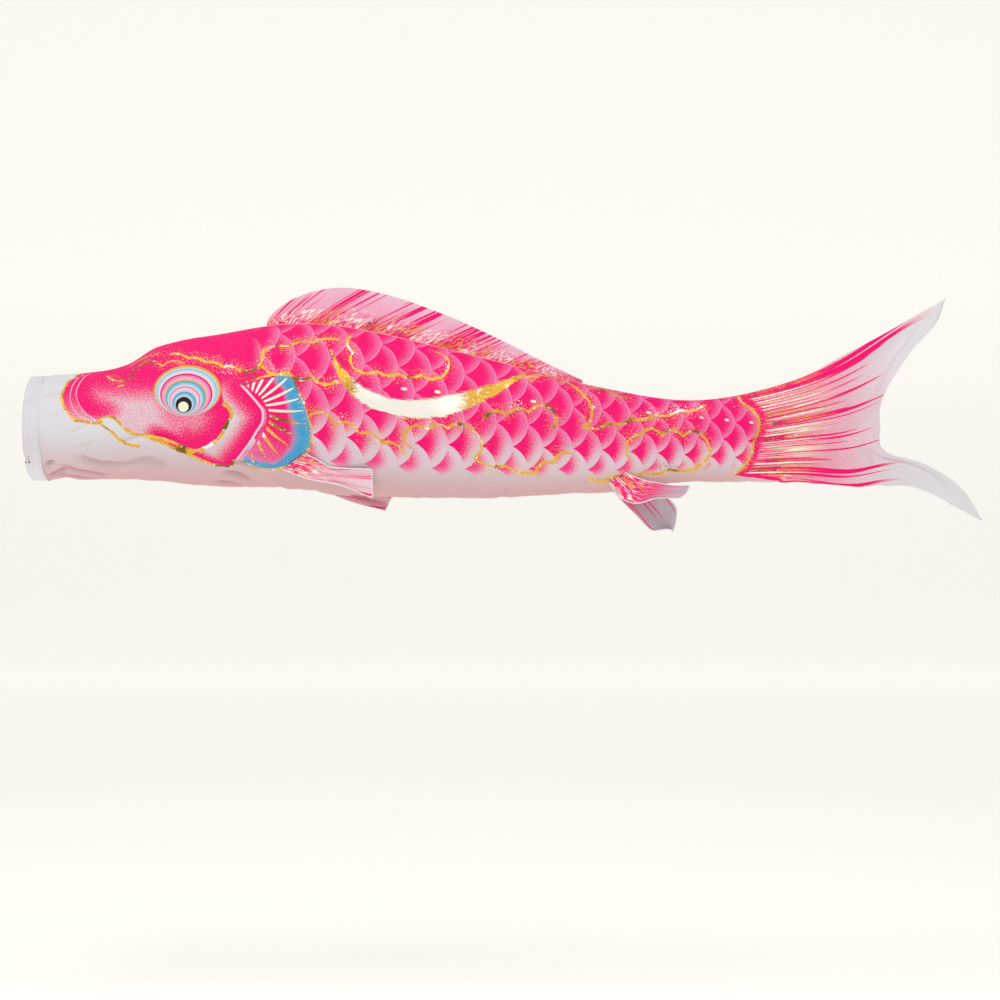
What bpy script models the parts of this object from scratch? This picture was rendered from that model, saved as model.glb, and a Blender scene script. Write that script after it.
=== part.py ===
"""Carp streamer: an open cloth tube on a mouth hoop, with sewn fins and a forked open tail.

The frame has its origin at the centre of the mouth hoop, +X towards the tail and +Z up.
The fish's left side faces -Y. All sizes are in metres.
"""

from bisect import bisect_right
from math import cos, log, pi, radians, sin, sqrt

import bmesh
import bpy
from mathutils import Matrix, Vector

CLOTH = 0.0008  # thickness of every cloth piece
SEAM_GAP = 0.00015  # half of the gap between the left and right cloth pieces
SECTION_GAP = 0.00015  # half of the gap between one length of the body and the next
SEAM_ALLOWANCE = 0.006  # how far the cloth turns in at the back and belly seams
LEFT, RIGHT = -1, 1  # which way along Y a side lies

# Outline of the body: distance from the mouth, height of the back, height of the belly, half width.
# A smooth curve runs through the rows.
STATIONS = (
    (0.00, 0.082, -0.082, 0.082),
    (0.10, 0.090, -0.080, 0.080),
    (0.15, 0.100, -0.080, 0.078),
    (0.20, 0.130, -0.085, 0.075),
    (0.30, 0.150, -0.090, 0.070),
    (0.40, 0.165, -0.095, 0.066),
    (0.50, 0.160, -0.105, 0.064),
    (0.70, 0.115, -0.110, 0.055),
    (0.90, 0.065, -0.100, 0.040),
    (1.05, 0.045, -0.085, 0.030),
    (1.20, 0.075, -0.085, 0.020),
    (1.30, 0.125, -0.090, 0.012),
    (1.40, 0.180, -0.095, 0.009),
    (1.50, 0.240, -0.145, 0.008),
)
# Rear edge of the forked tail: share of the height above the belly line, distance from the mouth.
FORK = (
    (0.0, 1.500),
    (0.1, 1.460),
    (0.2, 1.355),
    (0.4, 1.340),
    (0.6, 1.345),
    (0.8, 1.385),
    (0.9, 1.425),
    (1.0, 1.440),
)

HEM_END = 0.026
COLLAR_END = 0.110
HEAD_END = 0.308
NECK_END = 0.372
TRUNK_END = 0.848
WAIST_END = 0.905
REAR_END = 1.100
STEM_END = 1.160
# Lengths of the body cloth: name, start, end, rows of facets. The tail runs to the fork.
LENGTHS = (
    ("collar", HEM_END, COLLAR_END, 3),
    ("head_panel", COLLAR_END, HEAD_END, 6),
    ("neck", HEAD_END, NECK_END, 2),
    ("trunk_panel", NECK_END, TRUNK_END, 11),
    ("waist", TRUNK_END, WAIST_END, 2),
    ("rear_panel", WAIST_END, REAR_END, 5),
    ("tail_stem", REAR_END, STEM_END, 2),
)
TAIL_ROWS = 9
BODY_FACETS = 12
TAIL_FACETS = 18

# Joint centres. The droop hinge runs along Y and the three sway hinges along Z.
DROOP = Vector((0.068, 0, 0.025))
NECK_SWAY = Vector((0.340, 0, 0))
WAIST_SWAY = Vector((0.8765, 0, 0))
TAIL_SWAY = Vector((1.130, 0, 0))
PIVOTS = {
    "collar": DROOP,
    "head_panel": DROOP,
    "neck": NECK_SWAY,
    "trunk_panel": NECK_SWAY,
    "waist": WAIST_SWAY,
    "rear_panel": WAIST_SWAY,
    "tail_stem": TAIL_SWAY,
    "tail_panel": TAIL_SWAY,
}

HOOP_SIDES = 45  # flats round the hoop, one of them at the top and one at each lower tie slot
HOOP_RADIUS = 0.0812
HOOP_DEPTH = 0.004
HOOP_FRONT = 0.0014
HOOP_WIDTH = 0.005
CASING_CLEARANCE = 0.0004
HEM_RADIUS = 0.0826
HEM_INNER_RADIUS = 0.0759
CASING_END = 0.0078
CASING_TAPER = 0.004  # from the end of the casing to where the two layers lie together
TIE_ANGLES = {"top": 0.0, "left": radians(128), "right": radians(-128)}
TIE_SLOT_WIDTH = 0.014
TIE_SLOT_END = 0.009

FIN_CLOTH = 0.0012
FIN_GAP = 0.0012  # from the back of the body to the dorsal fin's lower edge
# Dorsal fin: where it starts, is highest and ends along the back, and its height above the back.
DORSAL_START, DORSAL_CREST, DORSAL_END = 0.370, 0.540, 0.870
DORSAL_HEIGHT, DORSAL_LEAST = 0.063, 0.003
DORSAL_POWER = log(0.5) / log((DORSAL_CREST - DORSAL_START) / (DORSAL_END - DORSAL_START))
DORSAL_ROWS = 13
DORSAL_HINGE = Vector((0.478, 0, 0.1666))

# Paired fins. A root is the distance from the mouth and the height of its lower and its upper end,
# which lie just off the side of the body.
PECTORAL_ROOT = ((0.400, -0.065), (0.435, -0.040))
PELVIC_ROOT = ((0.910, -0.085), (0.935, -0.070))
ROOT_GAP = 0.002
# The lower and upper edges run on from the root: distance from the mouth, distance out from the
# middle of the body, height.
PECTORAL_LEFT = (
    ((0.440, 0.045, -0.080), (0.490, 0.045, -0.090), (0.540, 0.046, -0.110)),
    ((0.460, 0.053, -0.053), (0.480, 0.050, -0.062), (0.540, 0.050, -0.065)),
)
PECTORAL_RIGHT = (
    ((0.440, 0.043, -0.090), (0.500, 0.042, -0.115), (0.555, 0.044, -0.130)),
    ((0.470, 0.053, -0.055), (0.515, 0.050, -0.075), (0.570, 0.048, -0.100)),
)
PELVIC_LEFT = (
    ((0.930, 0.028, -0.110), (0.955, 0.032, -0.118), (0.985, 0.038, -0.110), (1.020, 0.046, -0.110)),
    ((0.960, 0.030, -0.080), (0.980, 0.030, -0.085), (1.010, 0.034, -0.090), (1.035, 0.042, -0.090)),
)
PELVIC_RIGHT = (
    ((0.930, 0.027, -0.110), (0.955, 0.027, -0.135), (0.980, 0.029, -0.160), (1.000, 0.030, -0.160)),
    ((0.965, 0.029, -0.085), (1.000, 0.028, -0.105), (1.020, 0.029, -0.125), (1.020, 0.030, -0.150)),
)
FIN_ROWS = 8
FIN_COLUMNS = 4
PELVIC_BOW = 0.006  # how far the middle of a pelvic fin bulges out

WHITE = (0.86, 0.84, 0.84)
MAGENTA = (0.90, 0.05, 0.28)
PINK = (0.93, 0.32, 0.50)
PALE_PINK = (0.94, 0.72, 0.79)


def smooth_value(points, x, column):
    """The value in a column of a table at x, on a smooth curve through the rows."""
    xs = [p[0] for p in points]
    i = min(max(bisect_right(xs, x) - 1, 0), len(points) - 2)

    def slope(k):
        a, b = points[max(k - 1, 0)], points[min(k + 1, len(points) - 1)]
        return (b[column] - a[column]) / (b[0] - a[0])

    p, q = points[i], points[i + 1]
    step = q[0] - p[0]
    t = (x - p[0]) / step
    return (
        (2 * t**3 - 3 * t**2 + 1) * p[column]
        + (t**3 - 2 * t**2 + t) * step * slope(i)
        + (3 * t**2 - 2 * t**3) * q[column]
        + (t**3 - t**2) * step * slope(i + 1)
    )


def back(x):
    return smooth_value(STATIONS, x, 1)


def body_point(x, angle, inset, least_width):
    """A point on the left half of the body, at an angle from the back, inset into the cloth."""
    top, bottom, width = (smooth_value(STATIONS, x, k) for k in (1, 2, 3))
    y = max((width - inset) * sin(angle), least_width)
    z = (top + bottom) / 2 + ((top - bottom) / 2 - inset) * cos(angle)
    return Vector((x, -y, z))


def skin(x, z):
    """Half width of the body at a height."""
    top, bottom, width = (smooth_value(STATIONS, x, k) for k in (1, 2, 3))
    share = (2 * z - top - bottom) / (top - bottom)
    return width * sqrt(1 - share**2)


def fork(angle):
    """Where the tail's cloth ends, at an angle from the back."""
    return smooth_value(FORK, (1 + cos(angle)) / 2, 1)


def thick_sheet(name, outer, inner):
    """A closed mesh between two grids of points that have the same rows and columns."""
    rows, columns = len(outer), len(outer[0])
    bm = bmesh.new()
    skins = [[[bm.verts.new(p) for p in row] for row in grid] for grid in (outer, inner)]
    for skin in skins:
        for i in range(rows - 1):
            for k in range(columns - 1):
                bm.faces.new((skin[i][k], skin[i + 1][k], skin[i + 1][k + 1], skin[i][k + 1]))
    rim = [(0, k) for k in range(columns)]
    rim += [(i, columns - 1) for i in range(1, rows)]
    rim += [(rows - 1, k) for k in range(columns - 2, -1, -1)]
    rim += [(i, 0) for i in range(rows - 2, 0, -1)]
    for (i, k), (m, n) in zip(rim, rim[1:] + rim[:1]):
        bm.faces.new((skins[0][i][k], skins[0][m][n], skins[1][m][n], skins[1][i][k]))
    bmesh.ops.recalc_face_normals(bm, faces=bm.faces)
    mesh = bpy.data.meshes.new(name)
    bm.to_mesh(mesh)
    bm.free()
    return mesh


def mirrored(grid):
    return [[Vector((p.x, -p.y, p.z)) for p in row] for row in grid]


def body_grids(start, end_at, rows, facets):
    """Outer and inner grids of the left cloth, with the seam allowances turned in."""
    angles = [pi * k / facets for k in range(facets + 1)]
    edge, inner_edge = SEAM_GAP, SEAM_GAP + CLOTH
    outer, inner = [], []
    for i in range(rows + 1):
        xs = [start + (end_at(a) - start) * i / rows for a in angles]
        out = [body_point(x, a, 0, edge) for x, a in zip(xs, angles)]
        ins = [body_point(x, a, CLOTH, inner_edge) for x, a in zip(xs, angles)]
        for row, y in ((out, edge), (ins, inner_edge)):
            top, bottom = out[0].z - SEAM_ALLOWANCE, out[-1].z + SEAM_ALLOWANCE
            row.insert(0, Vector((xs[0], -y, top)))
            row.append(Vector((xs[-1], -y, bottom)))
        outer.append(out)
        inner.append(ins)
    return outer, inner


def material(name, colour, roughness):
    mat = bpy.data.materials.new(name)
    mat.use_nodes = True
    shader = mat.node_tree.nodes["Principled BSDF"]
    shader.inputs["Base Color"].default_value = (*colour, 1)
    shader.inputs["Roughness"].default_value = roughness
    shader.inputs["Metallic"].default_value = 0.0
    return mat


def add_object(name, mesh, colour, roughness=0.6, pivot=None):
    """Adds a named piece, with its origin on its joint's axis."""
    if pivot:
        mesh.transform(Matrix.Translation(-pivot))
    mesh.materials.append(material(name, colour, roughness))
    mesh.shade_smooth()
    mesh.set_sharp_from_angle(angle=radians(40))
    obj = bpy.data.objects.new(name, mesh)
    obj.location = pivot or (0, 0, 0)
    bpy.context.collection.objects.link(obj)
    return obj


def add_pair(name, grids, colour, pivot):
    """The left piece and its mirror image on the right."""
    left = thick_sheet(f"{name}_left", *grids)
    right = thick_sheet(f"{name}_right", *(mirrored(g) for g in grids))
    add_object(f"{name}_left", left, colour, pivot=pivot)
    add_object(f"{name}_right", right, colour, pivot=pivot)


def body_cloth():
    """The streamer's two side cloths, in lengths that turn about the joints."""
    colours = {"collar": WHITE, "head_panel": MAGENTA}
    for name, start, end, rows in LENGTHS:
        grids = body_grids(start + SECTION_GAP, lambda a, e=end: e - SECTION_GAP, rows, BODY_FACETS)
        add_pair(name, grids, colours.get(name, PINK), PIVOTS[name])
    grids = body_grids(STEM_END + SECTION_GAP, fork, TAIL_ROWS, TAIL_FACETS)
    add_pair("tail_panel", grids, PALE_PINK, PIVOTS["tail_panel"])


def turned(name, profile, angles, closed):
    """A closed profile of distances and radii, swept about the X axis through angles from the top."""
    bm = bmesh.new()
    rings = []
    for a in angles:
        rings.append([bm.verts.new((x, -r * sin(a), r * cos(a))) for x, r in profile])
    pairs = list(zip(rings, rings[1:] + rings[:1] if closed else rings[1:]))
    for a, b in pairs:
        for k in range(len(profile)):
            n = (k + 1) % len(profile)
            bm.faces.new((a[k], a[n], b[n], b[k]))
    if not closed:
        bm.faces.new(rings[0])
        bm.faces.new(rings[-1])
    bmesh.ops.recalc_face_normals(bm, faces=bm.faces)
    mesh = bpy.data.meshes.new(name)
    bm.to_mesh(mesh)
    bm.free()
    return mesh


def rectangle(x0, x1, r0, r1):
    return ((x0, r0), (x0, r1), (x1, r1), (x1, r0))


def hoop_angles():
    step = 2 * pi / HOOP_SIDES
    return [step * (k + 0.5) for k in range(HOOP_SIDES)]


def mouth_hoop():
    """The stiff ring that holds the mouth open. Its outer flats show in the tie slots."""
    profile = rectangle(
        HOOP_FRONT, HOOP_FRONT + HOOP_WIDTH, HOOP_RADIUS - HOOP_DEPTH, HOOP_RADIUS
    )
    mesh = turned("mouth_hoop", profile, hoop_angles(), closed=True)
    add_object("mouth_hoop", mesh, WHITE, roughness=0.4)


def cutter(name, mesh):
    obj = bpy.data.objects.new(name, mesh)
    obj.hide_render = True
    obj.display_type = "WIRE"
    bpy.context.collection.objects.link(obj)
    return obj


def casing_cutter():
    """The tunnel in the hem that the hoop runs in."""
    profile = rectangle(
        HOOP_FRONT - CASING_CLEARANCE,
        HOOP_FRONT + HOOP_WIDTH + CASING_CLEARANCE,
        HOOP_RADIUS - HOOP_DEPTH - CASING_CLEARANCE,
        HOOP_RADIUS + CASING_CLEARANCE,
    )
    return cutter("casing_cutter", turned("casing_cutter", profile, hoop_angles(), closed=True))


def slot_cutter(side):
    """A tie slot through the front of the hem, where a bridle cord reaches the hoop."""
    name = f"slot_cutter_{side}"
    depth = 6 * (HEM_RADIUS - HEM_INNER_RADIUS)
    bm = bmesh.new()
    bmesh.ops.create_cube(bm, size=1)
    bmesh.ops.scale(bm, vec=(2 * TIE_SLOT_END, TIE_SLOT_WIDTH, depth), verts=bm.verts)
    bmesh.ops.translate(bm, vec=(0, 0, HOOP_RADIUS), verts=bm.verts)
    turn = Matrix.Rotation(TIE_ANGLES[side], 3, "X")
    bmesh.ops.rotate(bm, cent=(0, 0, 0), matrix=turn, verts=bm.verts)
    mesh = bpy.data.meshes.new(name)
    bm.to_mesh(mesh)
    bm.free()
    return cutter(name, mesh)


def hem_half(name, half, cutters):
    """Half of the turned hem: a casing round the hoop, then two layers sewn down together.

    Angles from the top grow towards the left, so the left half has half 1 and the right -1.
    """
    profile = (
        (0.0, HEM_INNER_RADIUS),
        (0.0, HEM_RADIUS),
        (HEM_END - SECTION_GAP, HEM_RADIUS),
        (HEM_END - SECTION_GAP, HEM_RADIUS - 2 * CLOTH),
        (CASING_END + CASING_TAPER, HEM_RADIUS - 2 * CLOTH),
        (CASING_END, HEM_INNER_RADIUS),
    )
    step = 2 * pi / HOOP_SIDES
    edge = SEAM_GAP / HEM_INNER_RADIUS
    angles = [edge] + [step * (k + 0.5) for k in range(HOOP_SIDES // 2)] + [pi - edge]
    mesh = turned(name, profile, [half * a for a in angles], closed=False)
    obj = add_object(name, mesh, WHITE)
    for tool in cutters:
        cut = obj.modifiers.new(tool.name, "BOOLEAN")
        cut.operation = "DIFFERENCE"
        cut.solver = "EXACT"
        cut.object = tool


def mouth_hem():
    casing = casing_cutter()
    slots = {side: slot_cutter(side) for side in TIE_ANGLES}
    hem_half("mouth_hem_left", 1, (casing, slots["top"], slots["left"]))
    hem_half("mouth_hem_right", -1, (casing, slots["top"], slots["right"]))


def edge_point(points, t):
    """A point at share t along a smooth curve through evenly weighted points."""
    rows = [(k / (len(points) - 1), *p) for k, p in enumerate(points)]
    return Vector([smooth_value(rows, t, c) for c in (1, 2, 3)])


def fin_edges(root, edges, side):
    """The lower and upper edge of a paired fin on one side, each starting on the root."""
    full = []
    for (x, z), free in zip(root, edges):
        points = [(x, skin(x, z) + ROOT_GAP, z), *free]
        full.append([Vector((px, side * out, pz)) for px, out, pz in points])
    return full


def fin_grids(lower, upper, side, bow):
    """Grids for a paired fin between its lower and upper edge, bowed outwards across its width."""
    middle = []
    for i in range(FIN_ROWS + 1):
        t = i / FIN_ROWS
        a, b = edge_point(lower, t), edge_point(upper, t)
        row = []
        for k in range(FIN_COLUMNS + 1):
            s = k / FIN_COLUMNS
            bulge = bow * sin(pi * s) * min(1, 3 * t)
            row.append(a.lerp(b, s) + Vector((0, side * bulge, 0)))
        middle.append(row)
    half = Vector((0, side * FIN_CLOTH / 2, 0))
    outer = [[p + half for p in row] for row in middle]
    inner = [[p - half for p in row] for row in middle]
    return outer, inner


def paired_fin(name, root, edges, side, bow=0.0):
    """A cloth fin sewn on along its root, with its origin at the middle of the root."""
    lower, upper = fin_edges(root, edges, side)
    mesh = thick_sheet(name, *fin_grids(lower, upper, side, bow))
    add_object(name, mesh, PALE_PINK, pivot=(lower[0] + upper[0]) / 2)


def dorsal_height(share):
    """Height of the dorsal fin above the back, at a share of its length from its front."""
    return DORSAL_LEAST + (DORSAL_HEIGHT - DORSAL_LEAST) * sin(pi * share**DORSAL_POWER)


def dorsal_fin():
    """The fin that stands along the back seam."""
    rows = []
    for i in range(DORSAL_ROWS):
        share = i / (DORSAL_ROWS - 1)
        x = DORSAL_START + (DORSAL_END - DORSAL_START) * share
        low = back(x) + FIN_GAP
        high = low + dorsal_height(share)
        rows.append([Vector((x, 0, low + (high - low) * k / 2)) for k in range(3)])
    half = Vector((0, FIN_CLOTH / 2, 0))
    outer = [[p - half for p in row] for row in rows]
    inner = [[p + half for p in row] for row in rows]
    add_object("dorsal_fin", thick_sheet("dorsal_fin", outer, inner), PALE_PINK, pivot=DORSAL_HINGE)


def main():
    for obj in list(bpy.data.objects):
        bpy.data.objects.remove(obj)
    mouth_hoop()
    mouth_hem()
    body_cloth()
    dorsal_fin()
    paired_fin("pectoral_fin_left", PECTORAL_ROOT, PECTORAL_LEFT, LEFT)
    paired_fin("pectoral_fin_right", PECTORAL_ROOT, PECTORAL_RIGHT, RIGHT)
    paired_fin("pelvic_fin_left", PELVIC_ROOT, PELVIC_LEFT, LEFT, PELVIC_BOW)
    paired_fin("pelvic_fin_right", PELVIC_ROOT, PELVIC_RIGHT, RIGHT, PELVIC_BOW)


main()
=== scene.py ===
"""Looks of the carp streamer: printed cloth, turned hem, sewn fins, stitches, light and camera.

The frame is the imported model's: origin at the centre of the mouth hoop, +X towards the tail and
+Z up, in metres. The fish's left side faces -Y.
"""

from math import copysign, cos, log, pi, radians, sin

import bpy
import numpy as np
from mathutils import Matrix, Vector


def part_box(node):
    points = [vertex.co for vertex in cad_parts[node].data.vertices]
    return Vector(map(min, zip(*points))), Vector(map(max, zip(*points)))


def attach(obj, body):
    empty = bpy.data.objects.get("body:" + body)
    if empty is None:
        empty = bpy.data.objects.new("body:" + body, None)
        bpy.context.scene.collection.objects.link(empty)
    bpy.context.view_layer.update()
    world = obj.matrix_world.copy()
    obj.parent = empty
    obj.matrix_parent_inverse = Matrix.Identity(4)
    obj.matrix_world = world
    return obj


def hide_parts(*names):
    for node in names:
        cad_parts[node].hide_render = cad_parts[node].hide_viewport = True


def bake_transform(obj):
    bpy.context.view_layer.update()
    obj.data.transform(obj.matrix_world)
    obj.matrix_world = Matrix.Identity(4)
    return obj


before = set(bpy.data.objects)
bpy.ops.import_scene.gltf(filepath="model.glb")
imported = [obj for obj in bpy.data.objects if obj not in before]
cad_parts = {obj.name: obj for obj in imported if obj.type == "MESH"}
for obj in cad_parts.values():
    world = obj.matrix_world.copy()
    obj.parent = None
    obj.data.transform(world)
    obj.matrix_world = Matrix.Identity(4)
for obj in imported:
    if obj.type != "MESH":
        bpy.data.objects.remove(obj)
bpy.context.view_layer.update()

# -------- shape shared with the CAD parts

# Outline of the body: distance from the mouth, height of the back, height of the belly, half width.
# A smooth curve runs through the rows.
STATIONS = (
    (0.00, 0.082, -0.082, 0.082),
    (0.10, 0.090, -0.080, 0.080),
    (0.15, 0.100, -0.080, 0.078),
    (0.20, 0.130, -0.085, 0.075),
    (0.30, 0.150, -0.090, 0.070),
    (0.40, 0.165, -0.095, 0.066),
    (0.50, 0.160, -0.105, 0.064),
    (0.70, 0.115, -0.110, 0.055),
    (0.90, 0.065, -0.100, 0.040),
    (1.05, 0.045, -0.085, 0.030),
    (1.20, 0.075, -0.085, 0.020),
    (1.30, 0.125, -0.090, 0.012),
    (1.40, 0.180, -0.095, 0.009),
    (1.50, 0.240, -0.145, 0.008),
)
# Rear edge of the forked tail: share of the height above the belly line, distance from the mouth.
FORK = (
    (0.0, 1.500),
    (0.1, 1.460),
    (0.2, 1.355),
    (0.4, 1.340),
    (0.6, 1.345),
    (0.8, 1.385),
    (0.9, 1.425),
    (1.0, 1.440),
)
# Dorsal fin: where it starts, is highest and ends along the back, and its height above the back.
DORSAL_START, DORSAL_CREST, DORSAL_END = 0.370, 0.540, 0.870
DORSAL_HEIGHT, DORSAL_LEAST = 0.063, 0.003
DORSAL_POWER = log(0.5) / log((DORSAL_CREST - DORSAL_START) / (DORSAL_END - DORSAL_START))
# Paired fins. A root is the distance from the mouth and the height of its lower and its upper end,
# which lie just off the side of the body.
PECTORAL_ROOT = ((0.400, -0.065), (0.435, -0.040))
PELVIC_ROOT = ((0.910, -0.085), (0.935, -0.070))
ROOT_GAP = 0.002
# The lower and upper edges run on from the root: distance from the mouth, distance out from the
# middle of the body, height.
PECTORAL_LEFT = (
    ((0.440, 0.045, -0.080), (0.490, 0.045, -0.090), (0.540, 0.046, -0.110)),
    ((0.460, 0.053, -0.053), (0.480, 0.050, -0.062), (0.540, 0.050, -0.065)),
)
PECTORAL_RIGHT = (
    ((0.440, 0.043, -0.090), (0.500, 0.042, -0.115), (0.555, 0.044, -0.130)),
    ((0.470, 0.053, -0.055), (0.515, 0.050, -0.075), (0.570, 0.048, -0.100)),
)
PELVIC_LEFT = (
    ((0.930, 0.028, -0.110), (0.955, 0.032, -0.118), (0.985, 0.038, -0.110), (1.020, 0.046, -0.110)),
    ((0.960, 0.030, -0.080), (0.980, 0.030, -0.085), (1.010, 0.034, -0.090), (1.035, 0.042, -0.090)),
)
PELVIC_RIGHT = (
    ((0.930, 0.027, -0.110), (0.955, 0.027, -0.135), (0.980, 0.029, -0.160), (1.000, 0.030, -0.160)),
    ((0.965, 0.029, -0.085), (1.000, 0.028, -0.105), (1.020, 0.029, -0.125), (1.020, 0.030, -0.150)),
)
SIDES = {"left": -1, "right": 1}
# Distances from the mouth at which the white hem ends, and at which the tail's stem ends.
HEM_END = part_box("collar_left")[0][0]
STEM_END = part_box("tail_panel_left")[0][0]
HEM_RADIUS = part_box("mouth_hem_left")[1][2]
# Radius of the hem's inner layer where it passes inside the hoop.
HEM_INNER_RADIUS = 0.0759

# Thickness of the cloth, its distance from the middle plane at a seam, and the cloth turned in there.
CLOTH = 0.0004
SEAM_GAP = 0.0001
SEAM_ALLOWANCE = 0.006

# -------- small tools


def smooth_value(table, x, column):
    """The value in a column of a table at x, on a smooth curve through the rows."""
    rows = np.array(table)
    xs, ys = rows[:, 0], rows[:, column]
    last = len(xs) - 1
    before = np.maximum(np.arange(last + 1) - 1, 0)
    after = np.minimum(np.arange(last + 1) + 1, last)
    slopes = (ys[after] - ys[before]) / (xs[after] - xs[before])
    i = np.clip(np.searchsorted(xs, x, side="right") - 1, 0, last - 1)
    step = xs[i + 1] - xs[i]
    t = (x - xs[i]) / step
    return (
        (2 * t**3 - 3 * t**2 + 1) * ys[i]
        + (t**3 - 2 * t**2 + t) * step * slopes[i]
        + (3 * t**2 - 2 * t**3) * ys[i + 1]
        + (t**3 - t**2) * step * slopes[i + 1]
    )


def ease(value, low, high):
    """0 below low, 1 above high, and a smooth rise between them."""
    t = np.clip((value - low) / (high - low), 0, 1)
    return t * t * (3 - 2 * t)


def colour(red, green, blue):
    """Linear red, green and blue of a display colour given from 0 to 255."""
    shares = np.array((red, green, blue)) / 255
    return np.where(shares > 0.04045, ((shares + 0.055) / 1.055) ** 2.4, shares / 12.92)


WHITE = colour(228, 225, 231)
SHADED_WHITE = colour(212, 160, 162)
MAGENTA = colour(252, 0, 116)
PINK = colour(250, 84, 158)
PALE_PINK = colour(244, 190, 214)
ROSE = colour(246, 128, 182)
BLUE = colour(60, 162, 212)
LIGHT_BLUE = colour(122, 204, 234)
GOLD = colour(232, 178, 60)
# Gold foil's dark stretches and its white glare and glints are painted reflections.
DARK_REFLECTED_GOLD = colour(132, 98, 16)
FOIL_GLARE = colour(255, 251, 240)
CREAM = colour(252, 248, 224)
BLACK = colour(34, 30, 34)
RED = colour(196, 20, 50)
# Grey lilac of a pale fin tip: painted shade.
SHADED_TIP_LILAC = colour(196, 186, 196)
SCALE_EDGE = colour(246, 116, 176)
SCALE_EDGE_LOW = colour(228, 204, 216)
PALE_LINE_TONE = colour(238, 214, 230)


def joined(*parts):
    """Arrays or numbers as the coordinates of one array of vectors."""
    return np.stack(np.broadcast_arrays(*parts), axis=-1)


def blended(a, b, share):
    """Colour a turning to colour b, for an array of shares."""
    return a + (b - a) * share[..., None]


# -------- node materials


# Bump of the cloth: its threads, its soft crumples, and the strength and depth of both.
THREAD_SPACING, THREAD_SHARE = 0.00045, 0.25
CRUMPLE_SCALE, CRUMPLE_SHARE = 90.0, 1.6
BUMP_STRENGTH, BUMP_DEPTH = 0.35, 0.0006
ROUGHNESS = 0.62
FOIL_METALLIC, FOIL_SMOOTHER = 0.55, -0.34


def add_node(tree, kind, inputs, **settings):
    """A new node. An input is a socket, a value, a number or a colour."""
    node = tree.nodes.new(f"ShaderNode{kind}")
    for name, setting in settings.items():
        setattr(node, name, setting)
    for place, item in inputs.items():
        if isinstance(item, (Value, bpy.types.NodeSocket)):
            tree.links.new(getattr(item, "socket", item), node.inputs[place])
        else:
            node.inputs[place].default_value = (*item, 1) if isinstance(item, np.ndarray) else item
    return node


class Value:
    """A number in a node tree. Sums and products of values add math nodes."""

    def __init__(self, tree, socket):
        self.tree = tree
        self.socket = socket

    def math(self, operation, *others):
        """The result of a math node. The others are values or plain numbers."""
        inputs = dict(enumerate((self, *others)))
        return Value(self.tree, add_node(self.tree, "Math", inputs, operation=operation).outputs[0])

    def __add__(self, other):
        return self.math("ADD", other)

    def __sub__(self, other):
        return self.math("SUBTRACT", other)

    def __mul__(self, other):
        return self.math("MULTIPLY", other)

    def __truediv__(self, other):
        return self.math("DIVIDE", other)

    def larger(self, other):
        return self.math("MAXIMUM", other)

    def root(self):
        return self.larger(0.0).math("SQRT")

    def size(self):
        return self.math("ABSOLUTE")

    def sine(self):
        return self.math("SINE")

    def rise(self, low, high):
        """0 below low, 1 above high, and smooth between them. A fall has low above high."""
        falls = low > high
        inputs = {
            "From Min": min(low, high), "From Max": max(low, high),
            "To Min": float(falls), "To Max": float(not falls), "Value": self,
        }
        node = add_node(self.tree, "MapRange", inputs, interpolation_type="SMOOTHSTEP")
        return Value(self.tree, node.outputs["Result"])


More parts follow.
